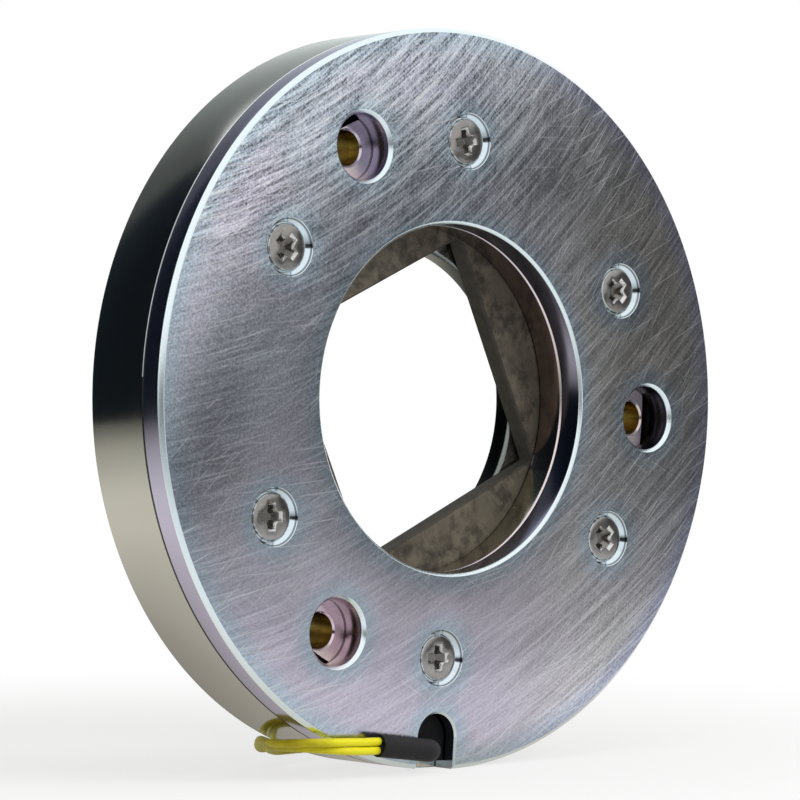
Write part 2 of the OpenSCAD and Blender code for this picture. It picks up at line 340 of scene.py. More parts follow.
def bump(tree, shader, height, distance, strength):  # distance in mm
    made = node(tree, "ShaderNodeBump")
    made.inputs["Strength"].default_value = strength
    made.inputs["Distance"].default_value = distance * mm
    feed(tree, made.inputs["Height"], height)
    tree.links.new(made.outputs["Normal"], shader.inputs["Normal"])


def mottledPlastic(name, dark, light, size, relief, rough, shine=0.5):  # one tone that drifts
    finish, tree, shader = newFinish(name, Roughness=rough)
    shader.inputs["Specular IOR Level"].default_value = shine
    tone = grain(tree, objectCoords(tree), *size)
    feed(tree, shader.inputs["Base Color"], mixColour(tree, tone, dark, light))
    bump(tree, shader, tone, *relief)
    return finish


def plainMetal(name, dark, light, rough, size):  # faint turning lines over a drifting tone
    finish, tree, shader = newFinish(name, Metallic=1.0)
    coords = objectCoords(tree)
    tone = grain(tree, coords, size, 3.0)
    lines = ramp(tree, grain(tree, coords, (12, 0.1, 12), 2.0), 0.5, 0.75)
    colour = mixColour(tree, times(tree, lines, 0.3), mixColour(tree, tone, dark, light), light)
    feed(tree, shader.inputs["Base Color"], colour)
    feed(tree, shader.inputs["Roughness"], ramp(tree, tone, 0.25, 0.75, *rough))
    bump(tree, shader, lines, 0.008, 0.3)
    return finish


# Camera, from the photograph's viewing angle

cameraSet = {
    "eye": (-0.2746, -0.3153, 0.0), "heading": 41.348, "tilt": 89.981,
    "lens": 151.02, "sensor": 36, "near": 0.01,
}


def makeCamera():
    data = bpy.data.cameras.new("viewCamera")
    data.sensor_width = cameraSet["sensor"]
    data.lens = cameraSet["lens"]
    data.clip_start = cameraSet["near"]
    camera = newObject("viewCamera", data)
    camera.location = cameraSet["eye"]
    camera.rotation_euler = (math.radians(cameraSet["tilt"]), 0, -math.radians(cameraSet["heading"]))
    scene.camera = camera


makeCamera()
print("camera set")


# Lead wires: from the shrink sleeve round the rim, then into a coil behind the brake

leadSet = {
    "wireD": 1.0, "pitch": 1.05, "coilR": 6.0, "base": -44.58, "faceGap": 0.02,
    "turnSteps": 32, "lastClimb": 0.6, "sleeveAim": 172, "inside": 1.2,
    "endR": 0.3, "endLen": 5.0, "strands": 6, "twist": 1.2,
    "strandSteps": 32, "strandSides": 8, "endSmooth": 60,
    "dark": (0.54, 0.455, 0.004), "light": (0.70, 0.615, 0.007), "scuff": (0.55, 0.46, 0.02),
    "paintedHighlight": (0.94, 0.87, 0.02), "paintedHighlightX": (-23.5, -19.5),  # painted highlight: the wires are lighter by the sleeve, where the light falls on them
}
routeA = [
    (-13.65, -40.62, 15), (-16, -40.53, 15), (-18.4, -40.39, 14.95), (-20.5, -40.31, 14.55),
    (-22.15, -40.32, 13.5), (-23.25, -40.41, 11.9), (-23.72, -40.57, 9.9), (-23.6, -40.72, 7.8),
    (-22.95, -40.81, 5.6), (-21.9, -40.83, 3.3), (-20.6, -41, 1.2), (-19.25, -41.4, -0.7),
    (-17.9, -41.95, -2.5), (-16.4, -42.5, -4.3), (-14.6, -43, -6.1), (-12.3, -43.3, -8),
    (-9.4, -43.6, -10), (-6.2, -43.8, -12.1), (-2.6, -43.95, -14.4), (1, -44.05, -16.6),
    (4.6, -44.05, -18.6), (8.4, -44, -20.1), (12, -44, -20.7), (16, -44, -20.4),
    (20, -44, -19.4), (25, -44, -18.5),
]
routeB = [
    (-13.8, -41.68, 15), (-16.3, -41.58, 15), (-18.3, -41.43, 14.8), (-20.05, -41.29, 14),
    (-21.35, -41.18, 12.6), (-22.1, -41.15, 10.9), (-22.35, -41.21, 9), (-22.25, -41.33, 7),
    (-21.75, -41.5, 5), (-20.75, -41.75, 2.7), (-19.2, -42.1, 0.7), (-17.6, -42.4, -1.2),
    (-15.9, -42.75, -2.9), (-14, -43.2, -4.5), (-11.8, -43.5, -5.9), (-9, -43.6, -6.7),
    (-5.6, -43.7, -7.1), (-2, -43.85, -7.1), (1.6, -43.95, -6.9), (5, -44, -6.7),
    (10, -44, -6.5),
]
leads = {
    "A": {"route": routeA, "coilAt": (25, -12.5), "turns": 4.5, "side": -1, "length": 0.247, "node": "a"},
    "B": {"route": routeB, "coilAt": (10, -12.5), "turns": 5.0, "side": 1, "length": 0.243, "node": "b"},
}


def smoothLine(points, steps=5):
    pts = [Vector(p) for p in points]
    pts = [2 * pts[0] - pts[1]] + pts + [2 * pts[-1] - pts[-2]]
    line = []
    for p0, p1, p2, p3 in zip(pts, pts[1:], pts[2:], pts[3:]):
        for k in range(steps):
            t = k / steps
            line.append(0.5 * (2 * p1 + (p2 - p0) * t + (2 * p0 - 5 * p1 + 4 * p2 - p3) * t * t
                               + (3 * p1 - p0 - 3 * p2 + p3) * t ** 3))
    return line + [pts[-2]]


def coilHeight(lead):
    return lead["turns"] * leadSet["pitch"] + leadSet["wireD"]


def coilPoint(lead, turn, height):
    w = 2 * math.pi * turn
    x, z = lead["coilAt"]
    r = leadSet["coilR"]
    return Vector((x + r * math.sin(w), height, z + lead["side"] * r * math.cos(w)))


def endHeight(lead):
    return leadSet["base"] + coilHeight(lead) + leadSet["endR"] + leadSet["faceGap"]


def wireLine(lead):  # from inside the sleeve, along the route, round the coil and up to its top
    start = Vector(lead["route"][0])
    back = Vector((*polar(leadSet["inside"], leadSet["sleeveAim"]), 0))
    line = [start - back, start - back * 0.5] + smoothLine(lead["route"])
    foot, last, steps = lead["route"][-1][1], leadSet["lastClimb"], leadSet["turnSteps"]
    lift = endHeight(lead) - (foot + leadSet["pitch"] * lead["turns"])
    for k in range(1, int(round(lead["turns"] * steps)) + 1):
        turn = k / steps
        climb = max(0.0, min(1.0, (turn - lead["turns"] + last) / last))
        rise = lift * climb * climb * (3 - 2 * climb)
        line.append(coilPoint(lead, turn, foot + leadSet["pitch"] * turn + rise))
    return [place(*p) for p in line]


def wireFinish():
    finish, tree, shader = newFinish("yellowWire")
    coords = objectCoords(tree)
    tone = grain(tree, coords, 2.2, 3.0)
    colour = mixColour(tree, ramp(tree, tone, 0.3, 0.7), leadSet["dark"], leadSet["light"])
    scuff = ramp(tree, grain(tree, coords, 0.25, 2.0), 0.62, 0.75)
    colour = mixColour(tree, times(tree, scuff, 0.25), colour, leadSet["scuff"])
    # painted highlight: the wire colour gets lighter towards the sleeve
    paintedHighlight = span(tree, splitAxes(tree, coords)["X"], leadSet["paintedHighlightX"], 0.0, 0.85)
    feed(tree, shader.inputs["Base Color"], mixColour(tree, paintedHighlight, colour, leadSet["paintedHighlight"]))
    feed(tree, shader.inputs["Roughness"], ramp(tree, tone, 0.2, 0.8, 0.28, 0.42))
    shader.inputs["Specular IOR Level"].default_value = 0.3
    bump(tree, shader, grain(tree, coords, 0.6, 2.0), 0.02, 0.4)
    return finish


def tinFinish():
    finish, tree, shader = newFinish("tinnedStrand", Metallic=1.0)
    tone = grain(tree, objectCoords(tree), 0.8, 2.0)
    feed(tree, shader.inputs["Base Color"], mixColour(tree, tone, (0.6, 0.58, 0.54), (0.76, 0.75, 0.72)))
    feed(tree, shader.inputs["Roughness"], ramp(tree, tone, 0.2, 0.8, 0.22, 0.4))
    return finish


def makeWire(key, lead, finish):
    line = wireLine(lead)
    curve = bpy.data.curves.new("leadWire" + key, "CURVE")
    curve.dimensions = "3D"
    curve.bevel_depth = leadSet["wireD"] / 2 * mm
    curve.bevel_resolution = 4
    curve.use_fill_caps = True
    spline = curve.splines.new("POLY")
    spline.points.add(len(line) - 1)
    for point, spot in zip(spline.points, line):
        point.co = (*spot, 1.0)
    spline.use_smooth = True
    wire = newObject("leadWire" + key, curve)
    curve.materials.append(finish)
    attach(wire, "housing")
    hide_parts("lead_wire_" + lead["node"], "lead_coil_" + lead["node"])
    return wire, line


tieSet = {
    "thick": 0.4, "width": 1.6, "round": 0.35, "bow": 0.1, "innerRound": 0.05, "soft": 0.12,
    "headHalf": (0.35, 0.8), "headRound": 0.15, "headLong": 2.2, "headAt": 0.55, "headSink": 0.05,
    "headLayers": [(-0.1, 0.9), (-0.1, 1.0), (0.0, 1.0), (0.04, 0.92)],  # how far out, and how large
}


def makeTie(key, lead, finish):  # a band round one side of the coil, with its lock at the outside
    inner, t = leadSet["wireD"] / 2 + tieSet["bow"], tieSet["thick"]
    tall, low = coilHeight(lead) + 2 * leadSet["faceGap"], leadSet["base"] - leadSet["faceGap"]
    x, z = lead["coilAt"]
    x += leadSet["coilR"]
    half, soft = tieSet["width"] / 2, tieSet["soft"]
    outer = boxOutline(inner + t, low - t, low + tall + t, tieSet["round"])
    inside = boxOutline(inner, low, low + tall, tieSet["innerRound"])
    bm = bmesh.new()
    layers = []
    for ring, shrink, side in ((inside, 0, -half), (outer, soft, -half), (outer, 0, -half + soft),
                               (outer, 0, half - soft), (outer, soft, half), (inside, 0, half)):
        layer = []
        for px, py in ring:
            qx = px - math.copysign(shrink, px) if abs(px) > inner * 0.9 else px
            qy = py - math.copysign(shrink, py - low - tall / 2)
            layer.append(bm.verts.new(place(x + qx, qy, z + side)))
        layers.append(layer)
    skin(bm, layers, closed=True)
    wide, high = tieSet["headHalf"]
    head = boxOutline(wide, -high, high, tieSet["headRound"])
    hx, hy = x + inner + t - tieSet["headSink"], low + tall * tieSet["headAt"]
    loft(bm, [[place(hx + out, hy + b * k, z + a * k * tieSet["headLong"]) for a, b in head]
              for out, k in tieSet["headLayers"]])
    tie = smoothShade(meshObject("leadTie" + key, bm))
    return dress(tie, finish, "housing", "tie_plastic", "lead_tie_" + lead["node"])


def makeEnd(key, lead, line, finish):  # strands twisted round a middle one, on from the wire's end
    ahead = line[-1] - line[-2]
    ahead = Vector((ahead.x, ahead.y, 0)).normalized()
    up = Vector((0, 0, 1))
    side = up.cross(ahead)
    bm = bmesh.new()
    strandR = leadSet["endR"] / 3 * mm
    count, steps = leadSet["strands"], leadSet["strandSteps"]
    for s in range(count + 1):
        off = 0 if s == count else leadSet["endR"] * 2 / 3 * mm
        path = []
        for k in range(steps + 1):
            t = k / steps
            w = 2 * math.pi * (s / count + leadSet["twist"] * t)
            path.append(line[-1] + ahead * t * leadSet["endLen"] * mm
                        + off * (math.cos(w) * side + math.sin(w) * up))
        sweep(bm, path, [strandR] * len(path), leadSet["strandSides"])
    end = smoothShade(meshObject("leadEnd" + key, bm), leadSet["endSmooth"])
    return dress(end, finish, "housing", "tinned_copper", "lead_end_" + lead["node"])


def makeLeads():
    wireLook, tinLook = wireFinish(), tinFinish()
    tieLook = mottledPlastic("tieNylon", (0.012, 0.012, 0.013), (0.03, 0.03, 0.032),
                             (0.7, 2.0), (0.02, 0.3), 0.45)
    for key, lead in leads.items():
        wire, line = makeWire(key, lead, wireLook)
        tie = makeTie(key, lead, tieLook)
        end = makeEnd(key, lead, line, tinLook)


makeLeads()
print("lead wires laid")


# Zinc plate: satin, with fine arcs from sanding, scratches, and faint blue, mint and pink tints

zincSet = {  # places and sizes in mm
    "tints": [(0.51, 0.53, 0.61), (0.48, 0.545, 0.60), (0.60, 0.55, 0.65), (0.570, 0.560, 0.545)],
    "patch": 14.0, "cast": 30.8, "castAt": (31, 7, 12), "pinkZ": (-6, -34), "plainX": (2, 30),
    "rough": (0.13, 0.18),
    "haloReach": 3.2, "haloShare": 0.85, "haloTint": (0.45, 0.55, 0.64),
    "rimR": (41.0, 44.4), "edgeTint": (0.48, 0.50, 0.66), "boreHalo": (24.5, 21.6),
    # painted shade along the joints between parts
    "seams": [], "seamHalf": (0.13, 0.06), "seamShadeTint": (0.02, 0.02, 0.022), "seamShare": 0.9,
    # a band of painted shade in each countersink
    "sinkShadeBand": (0.05, 0.09, 0.2, 0.28), "sinkShadeTint": (0.10, 0.105, 0.115), "sinkShadeShare": 0.8,
    # painted light low in the access holes
    "paleReach": 2.4, "paleTint": (0.98, 0.87, 0.85), "paleShare": 0.95, "paleRough": 0.3,
    "arcs": [  # where the arcs' centre lies on the face, a line's length and width, and its share
        (-60, 110, 20, 0.26, 0.26), (-100, 120, 14, 0.22, 0.20), (-80, 150, 9, 0.30, 0.16),
        (-260, 50, 9, 0.26, 0.14), (150, 210, 8, 0.28, 0.12), (-70, 120, 11, 0.62, 0.34),
    ],
    "strays": [  # the same for single scratches, with how strong they are
        (-60, 110, 40, 0.8, 1.0), (-100, 120, 30, 0.7, 1.0), (-40, 170, 32, 0.8, 0.9),
        (-150, 110, 30, 0.7, 0.8), (-260, 50, 22, 0.8, 0.5), (150, 210, 22, 0.9, 0.4),
        (30, -320, 26, 0.9, 0.45), (-150, 150, 14, 0.7, 0.9),
    ],
    "stray": 1.0, "scratchTint": (0.86, 0.88, 0.92), "scratchShare": 0.75,
    "mottle": 0.28, "turning": (30, 0.12, 30),
    "hairRough": 0.06, "strayRough": 0.12, "turningRough": 0.05,  # how much rougher the wear makes it
    "hairRelief": 0.4, "mottleRelief": 0.2, "turningRelief": 0.3, "relief": (0.008, 0.35),
    "vigour": (0.42, 1.8), "vigourZ": (-28, 45), "slant": 0.2, "evenX": (4, 28),  # the streaks' strength
    "calmX": (-16, -30), "calmZ": (22, 10),  # a patch with few streaks
}


def arcCoords(tree, axes, look):  # along and across arcs about a far point, one unit for each line
    cx, cz, length, width = look[:4]
    dx = minus(tree, axes["X"], cx * mm)
    dz = minus(tree, axes["Z"], cz * mm)
    r = math2(tree, "SQRT", plus(tree, times(tree, dx, dx), times(tree, dz, dz)))
    turn = math2(tree, "ARCTAN2", dz, dx)
    both = node(tree, "ShaderNodeCombineXYZ")
    feed(tree, both.inputs["X"], times(tree, turn, math.hypot(cx, cz) / length))
    feed(tree, both.inputs["Y"], times(tree, r, 1 / (width * mm)))
    return both.outputs["Vector"]


def hairlines(tree, axes, look):
    noise = node(tree, "ShaderNodeTexNoise", noise_dimensions="2D")
    feed(tree, noise.inputs["Vector"], arcCoords(tree, axes, look))
    noise.inputs["Scale"].default_value = 1.0
    noise.inputs["Detail"].default_value = 2.0
    return times(tree, ramp(tree, noise.outputs["Fac"], 0.42, 0.66), look[4])


def strayLines(tree, axes, look):  # one tapered scratch in each long narrow cell, of random strength
    cells = node(tree, "ShaderNodeTexVoronoi", voronoi_dimensions="2D")
    feed(tree, cells.inputs["Vector"], arcCoords(tree, axes, look))
    cells.inputs["Scale"].default_value = 1.0
    chance = node(tree, "ShaderNodeSeparateColor")
    feed(tree, chance.inputs[0], cells.outputs["Color"])
    line = ramp(tree, cells.outputs["Distance"], 0.15, 0.05)
    return times(tree, line, ramp(tree, chance.outputs[0], 0.15, 1.0, 0.1, look[4]))


def halo(tree, coords, spots, reach):  # 1 at the edge of the nearest spot, fading out over the reach
    nearest = None
    for x, y, z, r in spots:
        far = minus(tree, distanceTo(tree, coords, place(x, y, z)), r * mm)
        nearest = far if nearest is None else math2(tree, "MINIMUM", nearest, far)
    return span(tree, nearest, (reach, 0.0))


def platingColour(tree, coords, axes, look, patch, spots):  # mint, pink low down, plain at the right
    cast = grain(tree, coords, look["cast"], 2.0, at=look["castAt"])
    base, mint, pink, plain = look["tints"]
    colour = mixColour(tree, ramp(tree, patch, 0.4, 0.65, 0.0, 0.6), base, mint)
    low = most(tree, span(tree, axes["Z"], look["pinkZ"]), ramp(tree, cast, 0.5, 0.66, 0.0, 0.6))
    colour = mixColour(tree, low, colour, pink)
    right = span(tree, axes["X"], look["plainX"])
    colour = mixColour(tree, times(tree, right, ramp(tree, cast, 0.3, 0.6, 0.5, 1.0)), colour, plain)
    if spots:  # bluer along the rims of the face and of its holes
        middle = distanceTo(tree, coords, place(0, 0, brake["frontZ"]))
        rim = times(tree, span(tree, middle, look["rimR"]), look["haloShare"])
        colour = mixColour(tree, rim, colour, mixColour(tree, right, look["haloTint"], look["edgeTint"]))
        near = most(tree, halo(tree, coords, spots, look["haloReach"]), span(tree, middle, look["boreHalo"]))
        colour = mixColour(tree, times(tree, near, look["haloShare"]), colour, look["haloTint"])
    return colour


def faceWear(tree, coords, axes, look, flat):  # sanded arcs, scratches, mottle and the face's shade
    hair, strays = 0.0, 0.0
    for arc in look["arcs"]:
        hair = plus(tree, hair, hairlines(tree, axes, arc))
    for stray in look["strays"]:
        strays = most(tree, strays, strayLines(tree, axes, stray))
    mottle = ramp(tree, grain(tree, coords, look["mottle"], 2.0, 0.6), 0.3, 0.7)
    slant = minus(tree, axes["Z"], times(tree, axes["X"], look["slant"]))
    vigour = span(tree, slant, look["vigourZ"], *look["vigour"])
    vigour = span(tree, axes["X"], look["evenX"], vigour, sum(look["vigour"]) * 0.4)
    calm = times(tree, span(tree, axes["X"], look["calmX"], 0.0, 0.7),
                 span(tree, math2(tree, "ABSOLUTE", axes["Z"]), look["calmZ"]))
    streaks = times(tree, minus(tree, hair, 0.4), minus(tree, 1.0, calm))
    specks = times(tree, minus(tree, mottle, 0.5), ramp(tree, calm, 0, 1, 0.36, 0.42))
    shade = plus(tree, times(tree, plus(tree, streaks, specks), vigour), 1.0)
    strays = times(tree, strays, times(tree, flat, look["stray"]))
    strays = times(tree, strays, ramp(tree, calm, 0, 1, 1.0, 0.45))
    return hair, strays, mottle, shade


def zincFinish(name, zones, look, spots=(), pale=()):
    finish, tree, shader = newFinish(name, Metallic=1.0)
    coords = objectCoords(tree)
    axes = splitAxes(tree, coords)
    patch = grain(tree, coords, look["patch"], 3.0)
    colour = platingColour(tree, coords, axes, look, patch, spots)
    rough = ramp(tree, patch, 0.3, 0.7, *look["rough"])
    flat, zone = faceNumber(tree, "flat"), faceNumber(tree, "zone")
    walls = minus(tree, 1.0, flat)
    # each zone's tint is painted light and shade, as the zone tables list
    for number, (key, (tint, coarser)) in enumerate(zones.items(), 1):
        here = sameNumber(tree, zone, number)
        colour = mixColour(tree, here, colour, mixColour(tree, 1.0, colour, tint, "MULTIPLY"))
        rough = plus(tree, rough, times(tree, here, coarser))
        if key == "sink":  # a band of painted shade just inside the rim of each countersink, where the metal mirrors dark surroundings
            depth = plus(tree, axes["Y"], brake["frontZ"] * mm)
            d0, d1, d2, d3 = look["sinkShadeBand"]
            line = times(tree, span(tree, depth, (d0, d1)), span(tree, depth, (d3, d2)))
            line = times(tree, times(tree, line, here), look["sinkShadeShare"])
            colour = mixColour(tree, line, colour, look["sinkShadeTint"])
    if pale:  # painted light low in the holes, where light falls in: on the plate their walls, on the core its face
        light = halo(tree, coords, pale, look["paleReach"])
        light = times(tree, light, walls) if spots else light
        colour = mixColour(tree, times(tree, light, look["paleShare"]), colour, look["paleTint"])
        rough = plus(tree, rough, times(tree, light, look["paleRough"]))
    # painted shade: a dark line along each joint between parts, where the gap lies in shadow
    for height in look["seams"]:
        seam = math2(tree, "ABSOLUTE", plus(tree, axes["Y"], height * mm))
        seam = times(tree, span(tree, seam, look["seamHalf"]), walls)
        colour = mixColour(tree, times(tree, seam, look["seamShare"]), colour, look["seamShadeTint"])
    hair, strays, mottle, shade = faceWear(tree, coords, axes, look, flat)
    turning = times(tree, ramp(tree, grain(tree, coords, look["turning"], 2.0, 0.6), 0.5, 0.8), walls)
    grey = node(tree, "ShaderNodeCombineColor")
    for channel in grey.inputs:
        feed(tree, channel, shade)
    colour = mixColour(tree, flat, colour, mixColour(tree, 1.0, colour, grey.outputs[0], "MULTIPLY"))
    colour = mixColour(tree, times(tree, strays, look["scratchShare"]), colour, look["scratchTint"])
    feed(tree, shader.inputs["Base Color"], colour)
    wear = times(tree, hair, times(tree, flat, look["hairRough"]))
    wear = plus(tree, wear, times(tree, strays, look["strayRough"]))
    wear = plus(tree, wear, times(tree, turning, look["turningRough"]))
    feed(tree, shader.inputs["Roughness"], plus(tree, rough, wear))
    relief = plus(tree, times(tree, hair, times(tree, flat, look["hairRelief"])), strays)
    relief = plus(tree, relief, times(tree, mottle, look["mottleRelief"]))
    relief = plus(tree, relief, times(tree, turning, look["turningRelief"]))
    bump(tree, shader, relief, *look["relief"])
    return finish


# for each zone a tint, and how much rougher it is. On the plate the tints are painted light and shade:
# painted highlights on the rim, chamfers and countersinks, painted shade darkening the bore, and the three
# access holes as lit and shaded copies, the right one darkest
plateZones = {
    "upperHole": ((0.84, 0.64, 0.72), 0.08),
    "bore": ((0.64, 0.54, 0.66), 0.0),
    "rim": ((1.20, 0.98, 1.16), 0.0),
    "chamfer": ((1.85, 1.76, 1.64), 0.10),
    "sink": ((1.56, 1.52, 1.42), -0.06),
    "lowerHole": ((1.12, 0.80, 0.72), 0.08),
    "rightHole": ((0.40, 0.34, 0.38), 0.08),
}
# painted light and shade on the housing: the hole walls, floor bore and its chamfer darkened, the upper
# outer edge lit and the lower outer edge shaded
housingZones = {
    "holes": ((0.42, 0.33, 0.17), 0.0),
    "floorBore": ((0.11, 0.125, 0.12), 0.1),
    "upperEdge": ((1.6, 1.63, 1.72), 0.25),
    "lowerEdge": ((0.16, 0.15, 0.15), 0.1),
    "boreChamfer": ((0.42, 0.46, 0.44), 0.1),
}
# painted light and shade on the core: its face and bore chamfer lit, its hole walls darkened, the lower part
# of its bore lit and the upper part shaded
coreZones = {
    "face": ((1.25, 1.10, 1.08), 0.0),
    "holes": ((0.80, 0.62, 0.22), 0.0),
    "lowerBore": ((1.10, 1.06, 0.80), 0.0),
    "upperBore": ((0.84, 0.68, 0.62), 0.0),
    "boreChamfer": ((1.55, 1.36, 1.32), 0.12),
}
edgeSet = {"accessR": 4.4, "sinkR": 3.5, "slotR": 3.2, "slotAt": (41.2, 44.0)}  # the face's bluer edges
paleSet = {"below": 4.0, "coreR": 1.2, "wallR": 0.9, "wallUp": 0.8}  # spots of painted light low in the access holes
edgeSpots = [(*spot, brake["frontZ"], edgeSet["accessR"]) for spot in mountSpots]
edgeSpots += [(*spot, brake["frontZ"], edgeSet["sinkR"]) for spot in screwSpots]
edgeSpots += [(*polar(r, brake["slotAngle"]), brake["frontZ"], edgeSet["slotR"]) for r in edgeSet["slotAt"]]
lowSpots = [(x, y - paleSet["below"]) for x, y in mountSpots]
coreLights = [(*spot, brake["plateZ"], paleSet["coreR"]) for spot in lowSpots]
wallLights = [(x, y, brake["plateZ"] + paleSet["wallUp"], paleSet["wallR"]) for x, y in lowSpots if x < 0]
seamUp = {"plate": 0.12, "nose": 0.1}  # how far above a joint its line of painted shade lies, in mm
plateLook = dict(zincSet, seams=[brake["plateZ"] + seamUp["plate"]])
housingLook = dict(zincSet, rough=(0.10, 0.15), tints=[(0.56, 0.57, 0.55), (0.55, 0.58, 0.56),
                                                       (0.57, 0.56, 0.55), (0.56, 0.57, 0.55)])
coreLook = dict(zincSet, rough=(0.12, 0.17), seams=[brake["noseZ"] + seamUp["nose"]],
                vigour=(0.15, 0.15), stray=0.0)
plateFinish = zincFinish("zincPlateFace", plateZones, plateLook, edgeSpots, wallLights)
housingFinish = zincFinish("zincHousing", housingZones, housingLook)
coreFinish = zincFinish("zincCore", coreZones, coreLook, pale=coreLights)
print("zinc finishes made")


# Front plate

plateSet = {
    "accessR": 4.0, "accessChamfer": 0.45, "accessBreak": (0.06, 0.1), "sinkR": 3.5, "pocketDepth": 1.2,
    "slotW": 5.9, "slotDepth": 6.8, "slotChamfer": 0.25, "slotPast": 2, "slotSteps": 32,
    "backChamfer": 0.175, "ease": 0.09, "over": 0.6, "under": 1,
    "steps": 224, "accessSteps": 72, "sinkSteps": 64,
}


def slotLayer(r, z):
    centre = brake["outerR"] - plateSet["slotDepth"] + plateSet["slotW"] / 2
    past, steps = brake["outerR"] + plateSet["slotPast"], plateSet["slotSteps"]
    outline = [(past, -r)]
    for k in range(steps + 1):
        x, y = polar(r, 270 - 180 * k / steps)
        outline.append((centre + x, y))
    outline.append((past, r))
    return [place(x, y, z) for x, y in turned(outline, brake["slotAngle"])]


def makeFrontPlate():
    z0, z1 = brake["plateZ"], brake["frontZ"]
    r0, r1 = brake["boreR"], brake["outerR"]
    c, e, back = brake["boreChamfer"], brake["edgeChamfer"], plateSet["backChamfer"]
    profile = [(r0, z0), (r1 - back, z0), (r1, z0 + back), (r1, z1 - e), (r1 - e, z1),
               (r0 + c, z1), (r0, z1 - c)]
    blank = lathe(bmesh.new(), easeCorners(profile, plateSet["ease"]), plateSet["steps"])
    plate = meshObject("frontPlate", blank)
    tool = bmesh.new()
    low, over = z0 - plateSet["under"], plateSet["over"]
    a, ac = plateSet["accessR"], plateSet["accessChamfer"]
    out, up = plateSet["accessBreak"]
    for spot in mountSpots:
        lathe(tool, [(0, low), (a, low), (a, z1 - ac), (a + out, z1 - ac + up), (a + ac + over, z1 + over),
                     (0, z1 + over)], plateSet["accessSteps"], spot)
    s, h = plateSet["sinkR"], brake["screwHoleR"]
    for spot, pocket in zip(screwSpots, springSpots):
        lathe(tool, [(0, low), (h, low), (h, z1 - s + h), (s + over, z1 + over), (0, z1 + over)],
              plateSet["sinkSteps"], spot)
        drill(tool, brake["pocketR"], low, z0 + plateSet["pocketDepth"], pocket)
    w, sc = plateSet["slotW"] / 2, plateSet["slotChamfer"]
    loft(tool, [slotLayer(w, low), slotLayer(w, z1 - sc), slotLayer(w + sc + over, z1 + over)])
    cutAway(plate, tool)

    def zoneOf(x, y, z, n):
        if abs(n.z) < steep:
            for px, py in mountSpots:
                if math.hypot(x - px, y - py) < a + nearHole:
                    return "rightHole" if px > 0 else "upperHole" if py > 0 else "lowerHole"
            if math.hypot(x, y) < r0 + nearWall:
                return "bore"
            if math.hypot(x, y) > r1 - nearWall:
                return "rim"
        elif 0.0 < n.z < level:
            inSink = any(math.hypot(x - px, y - py) < s + nearHole for px, py in screwSpots)
            return "sink" if inSink else "chamfer"
        return None
    markZones(plate, plateZones, zoneOf)
    return dress(plate, plateFinish, "housing", "zinc_plate", "front_plate")


makeFrontPlate()
print("front plate cut")


# Housing, a turned cup

housingSet = {
    "threadR": 1.52, "threadDepth": 2.3, "sleeveR": 3.22, "mountChamfer": 0.2, "ease": 0.12,
    "over": 1, "under": 0.5, "steps": 224, "mountSteps": 56,
    "holesR": (24, 40), "edgeReach": 0.2, "edgeTilt": (0.15, 0.98), "edgeSplitY": 2,  # where the zones lie
}


def makeHousing():
    r0, r1, c, e = brake["floorBoreR"], brake["outerR"], brake["boreChamfer"], brake["edgeChamfer"]
    t, top, wall = brake["floorT"], brake["plateZ"], brake["cavityR"]
    profile = [(r0 + c, 0), (r1 - e, 0), (r1, e), (r1, top), (wall, top), (wall, t), (r0 + c, t),
               (r0, t - c), (r0, c)]
    blank = lathe(bmesh.new(), easeCorners(profile, housingSet["ease"]), housingSet["steps"])
    shell = meshObject("housingShell", blank)
    tool = bmesh.new()
    high, under = t + housingSet["over"], housingSet["under"]
    for spot in screwSpots:
        drill(tool, housingSet["threadR"], t - housingSet["threadDepth"], high, spot)
    m, s, mc = brake["mountHoleR"], housingSet["sleeveR"], housingSet["mountChamfer"]
    for spot in mountSpots:
        lathe(tool, [(0, -under), (m + mc + under, -under), (m, mc), (m, t / 2), (s, t / 2),
                     (s, high), (0, high)], housingSet["mountSteps"], spot)
    cutAway(shell, tool)
    (holesFrom, holesTo), reach = housingSet["holesR"], housingSet["edgeReach"]
    leastTilt, mostTilt = housingSet["edgeTilt"]

    def zoneOf(x, y, z, n):
        r = math.hypot(x, y)
        if abs(n.z) < steep and holesFrom < r < holesTo:
            return "holes"
        if z > top - reach and r > r1 - reach and leastTilt < n.z < mostTilt:
            return "upperEdge" if y > housingSet["edgeSplitY"] else "lowerEdge"
        if r > r0 + c + nearWall or abs(n.z) > level:
            return None
        return "floorBore" if abs(n.z) < steep else "boreChamfer"
    markZones(shell, housingZones, zoneOf)
    return dress(shell, housingFinish, "housing", "zinc_plate", "housing")


makeHousing()
print("housing turned")


# Magnet core

coreSet = {
    "mountChamfer": 0.21, "ease": 0.06, "past": 0.5, "chamferPast": 0.3, "steps": 200, "mountSteps": 56,
    "holesR": (24, 35.7), "faceFrom": 28, "boreSplitY": -9,  # where the zones lie
}


